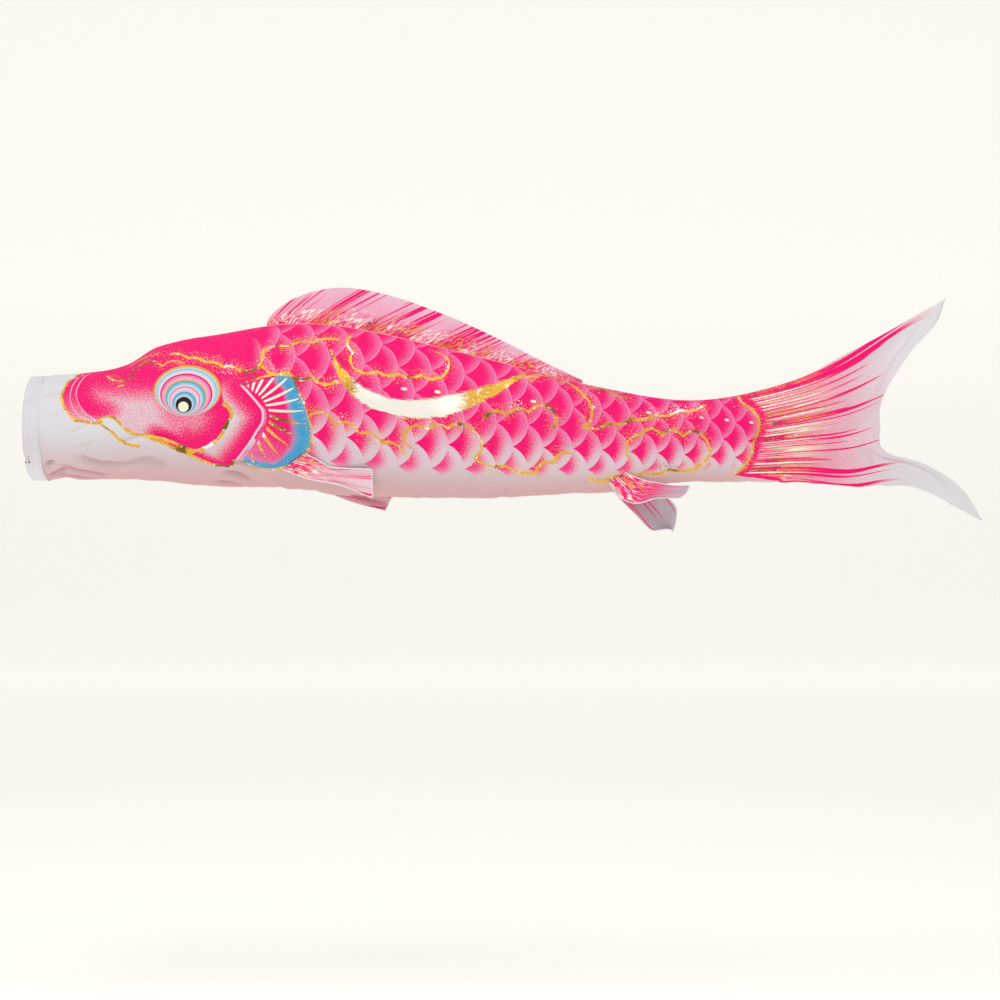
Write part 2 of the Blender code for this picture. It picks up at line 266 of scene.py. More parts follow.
class Cloth:
    """A material being built: its node tree, its shader, and the fields stored on the mesh."""

    def __init__(self, name, roughness=ROUGHNESS, sheen=0.02):
        self.material = bpy.data.materials.new(name)
        self.material.use_nodes = True
        self.tree = self.material.node_tree
        self.shader = self.tree.nodes["Principled BSDF"]
        self.shader.inputs["Roughness"].default_value = roughness
        self.shader.inputs["Sheen Weight"].default_value = sheen
        self.shader.inputs["Specular IOR Level"].default_value = 0.22
        self.shader.inputs["Sheen Roughness"].default_value = 0.4

    def field(self, name):
        """The three numbers of a vector field."""
        node = add_node(self.tree, "Attribute", {}, attribute_name=name)
        parts = add_node(self.tree, "SeparateXYZ", {0: node.outputs["Vector"]})
        return [Value(self.tree, parts.outputs[k]) for k in range(3)]

    def field_colour(self, name):
        return add_node(self.tree, "Attribute", {}, attribute_name=name).outputs["Color"]

    def noise(self, place, scale, detail):
        """Noise about 0.5. The place is a vector's socket, or its two or three numbers."""
        if isinstance(place, tuple):
            place = add_node(self.tree, "CombineXYZ", dict(enumerate(place))).outputs[0]
        node = add_node(self.tree, "TexNoise", {"Scale": scale, "Detail": detail, "Vector": place})
        return Value(self.tree, node.outputs["Fac"])

    def mix(self, a, b, share):
        """Colour a turning to colour b. A colour is a socket or three numbers."""
        return add_node(self.tree, "Mix", {6: a, 7: b, 0: share}, data_type="RGBA").outputs[2]

    def ramp(self, value, stops):
        """Colours at places from 0 to 1."""
        node = add_node(self.tree, "ValToRGB", {0: value})
        points = node.color_ramp.elements
        while len(points) < len(stops):
            points.new(1.0)
        for point, (place, tone) in zip(points, stops):
            point.position = place
            point.color = (*tone, 1)
        return node.outputs["Color"]

    def weave_bump(self, x, y):
        """Bump of a plain weave, plus soft crumples."""
        turns = 2 * pi / THREAD_SPACING
        weave = (x * turns).sine() * (y * turns).sine() * THREAD_SHARE
        height = weave + self.noise((x, y), CRUMPLE_SCALE, 3.0) * CRUMPLE_SHARE
        inputs = {"Strength": BUMP_STRENGTH, "Distance": BUMP_DEPTH, "Height": height}
        node = add_node(self.tree, "Bump", inputs)
        self.tree.links.new(node.outputs["Normal"], self.shader.inputs["Normal"])

    def finish(self, base, foil=None):
        """Sets the colour, and gives back the material. Where foil is 1, it is metallic and smoother."""
        self.tree.links.new(base, self.shader.inputs["Base Color"])
        if foil is not None:
            self.tree.links.new((foil * FOIL_METALLIC).socket, self.shader.inputs["Metallic"])
            rough = foil * FOIL_SMOOTHER + ROUGHNESS
            self.tree.links.new(rough.socket, self.shader.inputs["Roughness"])
        return self.material


def grain_of(cloth, x, y):
    """Airbrush grain: fine, high-contrast noise about 0."""
    fine = cloth.noise((x, y), 900.0, 1.0)
    coarse = cloth.noise((x, y, 3.0), 430.0, 1.0)
    return fine + coarse - 1.0


# A scale's rear edge is part of an oval: half its width in rows, and its depth in scale lengths.
SCALE_HALF_WIDTH = 1.095
SCALE_DEPTH = 0.834


def scale_distance(p, q):
    """How far in front of its scale's rear edge a point lies, in scale lengths. Rows lie at whole q."""
    row = q.math("FLOOR")
    odd = row.math("FLOORED_MODULO", 2.0) * 0.5
    tips, distances = [], []
    for beside, offset in ((q - row, odd), ((q - row) * -1.0 + 1.0, odd * -1.0 + 0.5)):
        curve = beside / SCALE_HALF_WIDTH
        edge = ((curve * curve) * -1.0 + 1.0).root() * -SCALE_DEPTH + SCALE_DEPTH
        tip = (p + edge - offset).math("CEIL") + offset
        tips.append(tip)
        distances.append(tip - edge - p)
    first = tips[0].math("LESS_THAN", tips[1])
    return distances[1] + (distances[0] - distances[1]) * first


def gold_with_reflections(cloth, x, y):
    """Gold foil with painted reflections: long stretches painted bright, dark or glaring, as light off
    creased foil looks, with painted glints.
    """
    reflection_patches = cloth.noise((x, y, 7.0), 21.0, 3.0)
    tone = cloth.mix(DARK_REFLECTED_GOLD, GOLD, reflection_patches.rise(0.37, 0.47))
    tone = cloth.mix(tone, FOIL_GLARE, reflection_patches.rise(0.60, 0.66))
    glints = cloth.noise((x, y, 9.0), 230.0, 2.0)
    return cloth.mix(tone, FOIL_GLARE, glints.rise(0.60, 0.68))


# Radius of a ring, and the colour there. Two radii with one colour are a ring's inner and outer edge.
EYE_RINGS = (
    (0.0000, CREAM),
    (0.0078, CREAM),
    (0.0084, BLACK),
    (0.0124, BLACK),
    (0.0130, WHITE),
    (0.0150, LIGHT_BLUE),
    (0.0174, BLUE),
    (0.0180, PALE_PINK),
    (0.0214, WHITE),
    (0.0218, PINK),
    (0.0226, PINK),
    (0.0232, WHITE),
    (0.0262, LIGHT_BLUE),
    (0.0284, BLUE),
    (0.0288, GOLD),
    (0.0300, GOLD),
    (0.0304, PALE_PINK),
    (0.0344, ROSE),
    (0.0350, MAGENTA),
    (0.0363, MAGENTA),
    (0.0368, WHITE),
    (0.0385, WHITE),
    (0.0412, LIGHT_BLUE),
    (0.0428, WHITE),
    (0.0434, GOLD),
    (0.0460, GOLD),
)
EYE_SIZE = 0.0455
# The rings are split over two colour ramps at this radius. Each ramp covers EYE_RAMP_SIZE.
EYE_SPLIT = 0.0300
EYE_RAMP_SIZE = 0.050


def eye_colour(cloth, ring):
    """The eye's nested rings, from its ring field."""
    share = ring / EYE_RAMP_SIZE
    inner = [(r / EYE_RAMP_SIZE, tone) for r, tone in EYE_RINGS if r < EYE_SPLIT]
    outer = [(r / EYE_RAMP_SIZE, tone) for r, tone in EYE_RINGS if r >= EYE_SPLIT]
    inner_colour = cloth.ramp(share, inner)
    outer_colour = cloth.ramp(share, outer)
    return cloth.mix(inner_colour, outer_colour, share.math("GREATER_THAN", EYE_SPLIT / EYE_RAMP_SIZE))


FAN_RAYS = 11.0


def fan_colour(cloth, x, y, angle, reach, blue_depth, inside):
    """The gill fan: magenta to pink, cream and gold rays, and an airbrushed blue rear edge."""
    grain = grain_of(cloth, x, y)
    low = angle.rise(0.50, 1.00)
    base = cloth.mix(MAGENTA, ROSE, (low * 0.7 + reach * 0.35 + grain * 1.3).rise(0.25, 1.15))
    violet = cloth.mix(ROSE, BLUE, 0.5)
    base = cloth.mix(base, violet, (blue_depth + grain * 1.1).rise(1.60, 1.10))
    base = cloth.mix(base, BLUE, (blue_depth + grain * 1.1).rise(1.20, 0.75))
    speckled = (grain - blue_depth * 0.1).rise(0.0, 0.22) * blue_depth.rise(1.1, 0.7) * 0.7
    base = cloth.mix(base, LIGHT_BLUE, speckled)
    bend = angle + reach * reach * 0.035
    phase = bend * FAN_RAYS
    beside = (phase - phase.math("FLOOR") - 0.5).size()
    upper = bend.rise(0.46, 0.40)
    width = reach.rise(1.15, -0.1) * (upper * -0.04 + 0.31)
    ray = (width - beside).rise(0.0, 0.05) * reach.rise(0.0, 0.06) * inside.rise(0.003, 0.006)
    dark = cloth.mix(RED, gold_with_reflections(cloth, x, y), (reach + grain * 0.6).rise(1.00, 0.70))
    return cloth.mix(base, cloth.mix(dark, CREAM, upper), ray), ray


def scale_colour(cloth, ground, p, q, belly, grain):
    """One printed scale after another: pale at the rear edge, airbrushed to magenta in front of it."""
    distance = scale_distance(p, q)
    edge = cloth.mix(SCALE_EDGE, SCALE_EDGE_LOW, belly.rise(0.15, 0.95))
    edge = cloth.mix(edge, PALE_PINK, distance.rise(0.030, 0.014) * 0.55)
    front = cloth.mix(MAGENTA, PINK, belly.rise(0.8, 1.4) * 0.7)
    shaded = distance * 1.3 + grain * 0.65 - belly * 0.26
    tone = cloth.mix(edge, front, shaded.rise(-0.05, 0.50) * belly.rise(1.5, 1.2))
    rows = q.math("ROUND")
    oval_x = (distance - 0.30) / 0.11
    oval_y = (q - rows + 0.10) / 0.085
    oval = (oval_x * oval_x + oval_y * oval_y).rise(1.0, 0.45)
    chosen = cloth.noise(((p + distance) * 0.61, rows * 3.7), 1.0, 0.0).rise(0.47, 0.50)
    tone = cloth.mix(tone, CREAM, oval * rows.size().rise(0.4, 0.1) * chosen * 0.9)
    return cloth.mix(tone, ground, (belly + grain * 0.10 - distance * 0.25).rise(1.12, 1.34))


def tail_colour(cloth, tone, stripe, behind, grain, gold):
    """A magenta band behind the scales, then rays of magenta, white foil and gold that thin out."""
    rays = cloth.noise((stripe * 19.0, behind * 2.0, 1.0), 1.0, 1.0)
    ends = cloth.noise((stripe * 6.0, 0.0, 5.0), 1.0, 1.0)
    outer = stripe.size().rise(0.62, 0.95)
    level = behind * (outer * -0.7 + 1.7) + 0.352 - (ends - 0.5) * 0.55 - outer * 0.05
    drawn = (rays - level).rise(0.0, 0.03) * behind.rise(0.29, 0.22)
    band = (behind + grain * 0.008).rise(0.026, 0.014)
    on_tail = behind.rise(-0.001, 0.001)
    tone = cloth.mix(tone, MAGENTA, drawn.larger(band) * on_tail)
    foil_rays = cloth.noise((stripe * 27.0, behind * 1.5, 11.0), 1.0, 0.5)
    breaks = cloth.noise((stripe * 14.0, behind * 16.0, 15.0), 1.0, 1.0)
    foil_share = behind.rise(0.008, 0.016) * behind.rise(0.140, 0.060)
    foil = (foil_rays + breaks * 0.16).rise(0.606, 0.624) * foil_share
    foil_tone = cloth.mix(CREAM, gold, ends.rise(0.49, 0.54))
    dots = cloth.noise((stripe * 90.0, behind * 420.0, 25.0), 1.0, 1.0)
    dust = (dots - behind * 0.5).rise(0.640, 0.655) * foil_share
    foil = foil.larger(dust)
    return cloth.mix(tone, foil_tone, foil), foil


def stroke_colour(cloth, x, arc, stroke, gold):
    """The foil brush stroke: painted white glare in the middle, gold at both ends and along its lower edge.
    """
    hairs = cloth.noise((x * 5.0, arc * 60.0 + stroke * 20.0, 2.0), 9.0, 2.0)
    ends = x.rise(0.535, 0.490).larger(x.rise(0.655, 0.715))
    golden = (ends + (hairs - 0.5) * 1.6).rise(0.30, 0.62)
    tone = cloth.mix(FOIL_GLARE, gold, golden.larger((stroke + hairs * 0.006).rise(0.0055, 0.0035) * 0.6))
    edge = (hairs - 0.5) * 0.016
    return tone, (stroke + edge).rise(-0.0004, 0.0005)


def foil_lines(cloth, x, arc, gold_line, dusty):
    """Gold lines of changing width, with dust on both sides where the print is dusty."""
    wobble = cloth.noise((x, arc, 21.0), 95.0, 3.0) - 0.5
    distance = gold_line.root()
    line = (distance + wobble * 2.2).rise(1.15, 0.90)
    speckle = cloth.noise((x, arc, 13.0), 430.0, 1.0)
    drift = cloth.noise((x, arc, 17.0), 30.0, 1.0)
    near = distance.rise(8.0, 2.0)
    dust = (speckle - distance * 0.010 + (drift - 0.5) * 0.16).rise(0.575, 0.590) * near.rise(0.0, 0.1)
    return line.larger(dust * dusty)


def body_material(name, show_through=False):
    """The printed side cloth. Its inner face shows the print through, much paler."""
    cloth = Cloth(name)
    x, arc, dusty = cloth.field("cloth_place")
    p, q, region = cloth.field("scale_place")
    gold_line, pale_line, stroke = cloth.field("line_place")
    ring, fan, ink = cloth.field("head_place")
    fan_angle, fan_reach, blue_depth = cloth.field("fan_place")
    stripe, behind, belly = cloth.field("tail_place")
    grain = grain_of(cloth, x, arc)
    gold = gold_with_reflections(cloth, x, arc)
    ground = cloth.field_colour("ground")

    roughly = behind.rise(0.05, 0.0).larger(0.6) * 0.95
    sprayed = (ink + grain * roughly * ink.rise(0.0, 0.3)).rise(0.04, 0.90)
    tone = cloth.mix(ground, MAGENTA, sprayed)
    scales = scale_colour(cloth, ground, p, q, belly, grain)
    shown = region.rise(0.0, 0.030).larger(x.rise(0.40, 0.44)).larger(belly.rise(0.2, 0.5))
    scales = cloth.mix(MAGENTA, scales, shown)
    tone = cloth.mix(tone, scales, region.rise(-0.0004, 0.0004))
    tone, tail_foil = tail_colour(cloth, tone, stripe, behind, grain, gold)
    fan_tone, fan_ray = fan_colour(cloth, x, arc, fan_angle, fan_reach, blue_depth, fan)
    in_fan = fan.rise(-0.0004, 0.0004)
    tone = cloth.mix(tone, fan_tone, in_fan)
    in_eye = ring.rise(EYE_SIZE + 0.0004, EYE_SIZE - 0.0004)
    tone = cloth.mix(tone, eye_colour(cloth, ring), in_eye)
    painted, in_stroke = stroke_colour(cloth, x, arc, stroke, gold)
    tone = cloth.mix(tone, painted, in_stroke)
    tone = cloth.mix(tone, PALE_LINE_TONE, pale_line.root().rise(1.15, 0.8))
    gilded = foil_lines(cloth, x, arc, gold_line, dusty)
    tone = cloth.mix(tone, gold, gilded)
    foil = gilded.larger(in_stroke).larger(tail_foil).larger(fan_ray * in_fan)
    cloth.weave_bump(x, arc)
    if show_through:
        return cloth.finish(cloth.mix(tone, WHITE, 0.62))
    return cloth.finish(tone, foil)


def fin_material(name):
    """Fin cloth: pink airbrush, clusters of thin magenta rays, and foil dashes nearer the root."""
    cloth = Cloth(name)
    x, y, _ = cloth.field("cloth_place")
    ray, reach, strength = cloth.field("fin_place")
    grain = grain_of(cloth, x, y)
    tone = cloth.field_colour("ground")
    wash = (reach * -0.9 + 0.80 + grain * 1.3).rise(0.0, 1.0) * strength
    tone = cloth.mix(tone, PINK, wash * 0.8)
    root = (reach * -4.2 + 1.0 + grain * 1.2).rise(0.1, 0.9) * strength
    tone = cloth.mix(tone, MAGENTA, root * 0.8)
    lines = cloth.noise((ray * 19.0, reach * 0.5, 1.0), 1.0, 0.5)
    clusters = cloth.noise((ray * 1.9, reach * 0.3, 4.0), 1.0, 0.0)
    level = reach * 0.10 + 0.492 - (clusters - 0.5) * 0.60
    inked = (lines - level).rise(0.0, 0.025) * strength.rise(0.02, 0.2)
    tone = cloth.mix(tone, MAGENTA, inked)
    dashes = cloth.noise((ray * 26.0, reach * 7.0, 8.0), 1.0, 0.5)
    foil = (dashes - reach * 0.09).rise(0.528, 0.545) * reach.rise(0.62, 0.30) * strength.rise(0.3, 0.6)
    gold = gold_with_reflections(cloth, x, y)
    tone = cloth.mix(tone, cloth.mix(CREAM, gold, clusters.rise(0.47, 0.53)), foil)
    cloth.weave_bump(x, y)
    return cloth.finish(tone, foil)


def plain_cloth_material(name, tone, shade):
    """White cloth with a weave, faint mottling and a soft sheen."""
    cloth = Cloth(name)
    x, y, _ = cloth.field("cloth_place")
    mottle = cloth.noise((x, y), 24.0, 3.0)
    base = cloth.mix(tone, shade, mottle.rise(0.40, 0.75) * 0.5)
    cloth.weave_bump(x, y)
    return cloth.finish(base)


def thread_material(name):
    """Twisted white polyester thread, or a narrow bias tape of it."""
    cloth = Cloth(name, roughness=0.5)
    place = add_node(cloth.tree, "TexCoord", {}).outputs["Object"]
    twist = cloth.noise(place, 1800.0, 1.0)
    base = cloth.mix(colour(224, 218, 224), colour(250, 248, 250), twist.rise(0.35, 0.65))
    return cloth.finish(base)


def hoop_material():
    """Smooth white plastic with faint mould flow and fine scuffs."""
    cloth = Cloth("hoop_white_plastic", roughness=0.34, sheen=0.0)
    place = add_node(cloth.tree, "TexCoord", {}).outputs["Object"]
    flow = cloth.noise(place, 30.0, 2.0)
    scuff = cloth.noise(place, 700.0, 2.0)
    base = cloth.mix(colour(232, 232, 234), colour(214, 212, 214), flow.rise(0.4, 0.7))
    rough = scuff.rise(0.5, 0.7) * 0.25 + 0.30
    cloth.tree.links.new(rough.socket, cloth.shader.inputs["Roughness"])
    return cloth.finish(base)


# -------- meshes


def grid_normals(points, outward):
    """Unit normals of a grid of points, on the side that outward points to."""
    normals = np.cross(np.gradient(points, axis=0), np.gradient(points, axis=1))
    normals /= np.maximum(np.linalg.norm(normals, axis=2, keepdims=True), 1e-12)
    return normals * np.where((normals * outward).sum(axis=2, keepdims=True) < 0, -1, 1)


def sheet_faces(keep, flip):
    """Quads of a closed double sheet over a grid. keep says which grid cells have cloth."""
    rows, columns = keep.shape[0] + 1, keep.shape[1] + 1
    index = np.arange(rows * columns).reshape(rows, columns)
    cells = np.stack((index[:-1, :-1], index[1:, :-1], index[1:, 1:], index[:-1, 1:]), axis=-1)[keep]
    count = rows * columns
    outer = cells[:, ::-1] if flip else cells
    inner = outer[:, ::-1] + count
    edges = np.concatenate([outer[:, (k, (k + 1) % 4)] for k in range(4)])
    codes = edges[:, 0] * count + edges[:, 1]
    opposite = edges[:, 1] * count + edges[:, 0]
    rim = edges[~np.isin(codes, opposite)]
    walls = np.stack((rim[:, 1], rim[:, 0], rim[:, 0] + count, rim[:, 1] + count), axis=1)
    return outer, inner, walls


def smooth_mesh(name, vertices, faces):
    """A smooth-shaded mesh of these points and faces."""
    mesh = bpy.data.meshes.new(name)
    mesh.from_pydata(vertices, [], faces)
    mesh.shade_smooth()
    return mesh


def add_object(name, data):
    """A new object in the scene, of a mesh, a light or a camera."""
    item = bpy.data.objects.new(name, data)
    bpy.context.collection.objects.link(item)
    return item


def add_sheet(name, points, normals, fields, materials, keep=None, inner_points=None):
    """A closed cloth piece: a grid of points, and its copy one thickness further in."""
    if inner_points is None:
        inner_points = points - normals * CLOTH
    rows, columns = points.shape[:2]
    if keep is None:
        keep = np.ones((rows - 1, columns - 1), bool)
    middle = (rows // 2, columns // 2)
    turn = np.cross(
        points[middle[0] + 1, middle[1]] - points[middle], points[middle[0], middle[1] + 1] - points[middle]
    )
    flip = float(turn @ normals[middle]) < 0
    outer, inner, walls = sheet_faces(keep, flip)
    both = np.concatenate((points.reshape(-1, 3), inner_points.reshape(-1, 3)))
    both_normals = np.concatenate((normals.reshape(-1, 3), -normals.reshape(-1, 3)))
    faces = np.concatenate((outer, inner, walls))
    used = np.unique(faces)
    renumber = np.zeros(len(both), int)
    renumber[used] = np.arange(len(used))
    mesh = smooth_mesh(name, both[used].tolist(), renumber[faces].tolist())
    inner_slot = min(1, len(materials) - 1)
    slots = np.concatenate((np.zeros(len(outer)), np.full(len(inner), inner_slot), np.zeros(len(walls))))
    mesh.polygons.foreach_set("material_index", slots.astype(np.int32))
    mesh.normals_split_custom_set_from_vertices(both_normals[used].tolist())
    for field, values in fields.items():
        doubled = np.concatenate((values.reshape(-1, 3), values.reshape(-1, 3)))[used]
        layer = mesh.attributes.new(field, "FLOAT_VECTOR", "POINT")
        layer.data.foreach_set("vector", doubled.astype(np.float32).ravel())
    for item in materials:
        mesh.materials.append(item)
    return add_object(name, mesh)


def grid_area(points):
    """Area of a grid of points, in square metres."""
    crossed = np.cross(points[1:, :-1] - points[:-1, :-1], points[:-1, 1:] - points[:-1, :-1])
    return float(np.linalg.norm(crossed, axis=2).sum())


def declare(points, axes=(0, 1, 2)):
    """Works out the size of a sheet's even shape, before any folds, waves or relief; nothing is done with it.

    Its width is measured in the directions of these axes only, as a forked end isn't straight.
    """
    across = float(np.linalg.norm(np.diff(points[..., axes], axis=1), axis=2).sum(axis=1).max())
    along = float(np.linalg.norm(np.diff(points, axis=0), axis=2).sum(axis=0).max())
    area = min(grid_area(points), across * along)


# A tube's two ends have this share of its radius.
TUBE_END_SHARE = 0.45
# A stitch: places along it from 0 to 1, and how far it stands off the cloth there, in thread radii.
STITCH_ARCH = ((0.0, -0.3), (0.2, 0.6), (0.5, 0.9), (0.8, 0.6), (1.0, -0.3))


def tube_mesh(name, paths, radius, sides=8):
    """Round closed tubes along lists of points, with tapered ends, in one mesh."""
    vertices, faces = [], []
    for path in paths:
        path = np.array(path)
        along = np.gradient(path, axis=0)
        along /= np.linalg.norm(along, axis=1, keepdims=True)
        helper = np.array((0.0, 0.0, 1.0)) if abs(along[0][2]) < 0.9 else np.array((1.0, 0.0, 0.0))
        start = len(vertices)
        for place, (point, direction) in enumerate(zip(path, along)):
            across = np.cross(direction, helper)
            across /= np.linalg.norm(across)
            up = np.cross(across, direction)
            wide = radius * (TUBE_END_SHARE if place in (0, len(path) - 1) else 1.0)
            for k in range(sides):
                a = 2 * pi * k / sides
                vertices.append(point + wide * (cos(a) * across + sin(a) * up))
        for i in range(len(path) - 1):
            for k in range(sides):
                n = (k + 1) % sides
                a, b = start + i * sides, start + (i + 1) * sides
                faces.append((a + k, b + k, b + n, a + n))
        faces.append([start + k for k in range(sides)])
        faces.append([start + (len(path) - 1) * sides + k for k in reversed(range(sides))])
    return smooth_mesh(name, [tuple(v) for v in vertices], faces)


def add_stitches(name, line, normals, body, length=0.0030, pitch=0.0042, radius=0.00032):
    """A row of stitches along a line of points that lies on the cloth, as one piece."""
    line, normals = np.array(line), np.array(normals)
    steps = np.linalg.norm(np.diff(line, axis=0), axis=1)
    reach = np.concatenate(([0.0], np.cumsum(steps)))
    paths = []
    for start in np.arange(pitch / 2, reach[-1] - length, pitch):
        path = []
        for share, lift in STITCH_ARCH:
            place = start + share * length
            point = np.array([np.interp(place, reach, line[:, k]) for k in range(3)])
            normal = np.array([np.interp(place, reach, normals[:, k]) for k in range(3)])
            path.append(point + normal * lift * radius)
        paths.append(path)
    piece = add_object(name, tube_mesh(name, paths, radius, sides=6))
    piece.data.materials.append(THREAD)
    if isinstance(body, str):
        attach(piece, body)
    else:
        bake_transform(piece)
    return piece


# -------- the body's form


def section(x):
    """Middle height, half height and half width of the body at x."""
    top, bottom, width = (smooth_value(STATIONS, x, column) for column in (1, 2, 3))
    return (top + bottom) / 2, (top - bottom) / 2, width


def cloth_arc(x, angle):
    """Length of the cloth from the back seam to an angle from the back, at x."""
    _, height, width = section(x)
    steps = np.linspace(0, 1, 48)
    total = np.zeros(np.shape(angle))
    previous = None
    for share in steps:
        a = angle * share
        speed = np.sqrt((width * np.cos(a)) ** 2 + (height * np.sin(a)) ** 2)
        if previous is not None:
            total += (speed + previous) / 2 * angle / (len(steps) - 1)
        previous = speed
    return total


# The side cloths' grid: row length before the tail, points from seam to seam, rows of the tail.
ROW_STEP = 0.0022
COLUMNS = 170
TAIL_ROWS = 135
# Keeps the outward side clear on the flat tail, also where its lobes curl beside a seam.
SIDEWAYS_LEAST = 0.15
# Half the flat tail's thickness: a cloth and a turned-in edge, with room between the layers.
FLAT_HALF = 0.0013
# Sine of the angle from a seam at which that half thickness is reached.
SEAM_RISE = 0.12
# Length of cloth from the back seam over which the relief comes in.
BACK_HELD = 0.020
# At the belly seam both sides have the left side's relief, which fades over this length of cloth.
BELLY_SHARED = 0.008
SEEDS = {"left": 20, "right": 50}
# Relief: height of the waves or depth of the folds, then their length or spacing, then their lean.
SOFT_WAVES = (0.0015, 0.16)
SMALL_WAVES = (0.0006, 0.05)
GATHERS = (0.0110, 0.036, 0.55)
CHIN_FOLDS = (0.0095, 0.038, -0.55)
BELLY_FOLDS = (0.0034, 0.065, 0.4)
PUCKERS = (0.0003, 0.018)
PUCKER_REACH = 0.008
# How far the tail waves, its lobes curl and their ends roll.
TAIL_WAVE = 0.0050
UPPER_CURL, LOWER_CURL = -0.018, -0.014
LOBE_ROLL = 0.0030


def fork_edge(height):
    """Distance from the mouth to the tail's rear edge. The height is -1 at the belly and 1 at the back."""
    return smooth_value(FORK, (1 + height) / 2, 1)


def body_places():
    """Distance from the mouth and angle from the back, for every point of a side cloth's grid."""
    angles = np.linspace(0, pi, COLUMNS)
    count = int((STEM_END - HEM_END) / ROW_STEP)
    straight = np.repeat(np.linspace(HEM_END, STEM_END, count, endpoint=False)[:, None], COLUMNS, axis=1)
    fork = fork_edge(np.cos(angles))
    share = np.linspace(0, 1, TAIL_ROWS)[:, None]
    x = np.concatenate((straight, STEM_END + share * (fork - STEM_END)))
    return x, np.broadcast_to(angles, x.shape)


def waves(u, v, seed, count, size):
    """Smooth random ripples over two coordinates, between about -1 and 1, with waves of this size."""
    rng = np.random.default_rng(seed)
    total = np.zeros(np.shape(u))
    for _ in range(count):
        direction = rng.uniform(0, 2 * pi)
        length = size * rng.uniform(0.7, 1.6)
        phase = rng.uniform(0, 2 * pi)
        total += np.sin((u * cos(direction) + v * sin(direction)) * 2 * pi / length + phase)
    return total / np.sqrt(count)


def creases(u, v, seed, size, lean):
    """Sharp-backed folds that run along u, with their spacing across v, between 0 and 1."""
    warp = waves(u, v, seed, 5, size * 5) * size * 0.5
    phase = (v + u * lean + warp) * 2 * pi / size
    ridges = (1 - np.abs(np.sin(phase / 2))) ** 2
    return ridges * ease(waves(u, v, seed + 1, 6, size * 3), -0.2, 0.9)


def relief(x, angle, arc, seed):
    """How far the wind-filled cloth stands out from its even shape. Folds lie further in."""
    low = ease(angle, 1.5, 2.3)
    mouth = ease(x, 0.16, 0.03)
    head = ease(x, 0.55, 0.30)
    soft = SOFT_WAVES[0] * waves(x, arc, seed, 7, SOFT_WAVES[1])
    small = SMALL_WAVES[0] * waves(x, arc, seed + 2, 9, SMALL_WAVES[1])
    gathers = GATHERS[0] * creases(x, arc, seed + 3, *GATHERS[1:]) * mouth * (0.45 + 0.55 * low)
    chin = CHIN_FOLDS[0] * creases(x, arc, seed + 5, *CHIN_FOLDS[1:]) * head * low
    belly = BELLY_FOLDS[0] * creases(arc, x, seed + 7, *BELLY_FOLDS[1:]) * low
    calm = ease(x, HEM_END, HEM_END + 0.012)
    near_seam = np.exp(-arc / PUCKER_REACH) + np.exp(-(arc[:, -1:] - arc) / PUCKER_REACH)
    pucker = PUCKERS[0] * waves(x, 0 * x, seed + 9, 6, PUCKERS[1]) * near_seam
    taut = ease(arc, 0, BACK_HELD)
    return (soft + small - gathers - chin - belly + pucker) * calm * taut


def tail_share(x, height):
    """Where x lies from the tail's root, 0, to its rear edge, 1. The height is -1 to 1."""
    return np.clip((x - STEM_END) / (fork_edge(height) - STEM_END), 0, 1)


def tail_sway(x, height):
    """How far the thin tail waves to the right, the same for both of its sides."""
    share = tail_share(x, height)
    along = ease(x, 1.14, 1.42)
    fold = TAIL_WAVE * np.sin(height * 7.5 + 0.6 + x * 6.0) * along
    curl = UPPER_CURL * ease(share, 0.70, 1.0) ** 2 * ease(height, 0.20, 0.9)
    lower_curl = LOWER_CURL * ease(share, 0.68, 1.0) ** 2 * ease(height, -0.50, -0.95)
    lobes = ease(np.abs(height), 0.15, 0.6)
    rolls = LOBE_ROLL * np.sin(share * 40.0 + height * 4.0) * ease(share, 0.76, 0.92) * lobes
    return fold + curl + lower_curl + rolls


def with_allowances(grid, turned=0.0):
    """Adds the cloth that is turned in along the back and belly seams, as one more column a side."""
    return np.concatenate((grid[:, :1] - turned, grid, grid[:, -1:] + turned), axis=1)


def body_points(x, angle, arc, side, seed):
    """The cloth of one side with its turned-in edges: outer points, inner points, normals, even shape."""
    middle, height, width = section(x)
    rim = joined(x, side * width * np.sin(angle), middle + height * np.cos(angle))
    sideways = side * height * (np.sin(angle) + SIDEWAYS_LEAST)
    outward = joined(0.0, sideways, width * np.cos(angle))
    lift = relief(x, angle, arc, seed)
    at_belly = np.exp(-(arc[:, -1:] - arc) / BELLY_SHARED)
    lift += (relief(x, angle, arc, SEEDS["left"]) - lift) * at_belly
    points = rim + grid_normals(rim, outward) * lift[..., None]
    least = SEAM_GAP + (FLAT_HALF - SEAM_GAP) * ease(np.sin(angle), 0, SEAM_RISE)
    points[..., 1] = side * np.maximum(side * points[..., 1], least)
    near_tip = ease(tail_share(x[:, :1], np.ones_like(x[:, :1])), 0.85, 1.0)
    turned = SEAM_ALLOWANCE * (1 - 0.85 * near_tip)
    down = turned[..., None] * np.array((0.0, 0.0, 1.0))
    grown = with_allowances(points, down)
    heights = with_allowances(np.cos(angle), turned / height[:, :1])
    sway = tail_sway(grown[..., 0], heights)
    grown[..., 1] += sway
    normals = grid_normals(grown[:, 1:-1], outward)
    normals[:, (0, -1), 1] = 0.0
    normals /= np.linalg.norm(normals, axis=2, keepdims=True)
    normals = with_allowances(normals)
    normals[:, (0, -1)] = (0.0, -side, 0.0)
    inner = grown - normals * CLOTH
    inner[..., 1] = sway + side * np.maximum(side * (inner[..., 1] - sway), SEAM_GAP)
    return grown, inner, normals, with_allowances(rim, down)


# -------- the print, laid out on the cloth
# Places in the print are (distance from the mouth, height) in the side view, in metres. A leg of
# an outline is its end and its bulge: the curve's height over its chord, positive to the left.

LEG_STEPS = 9


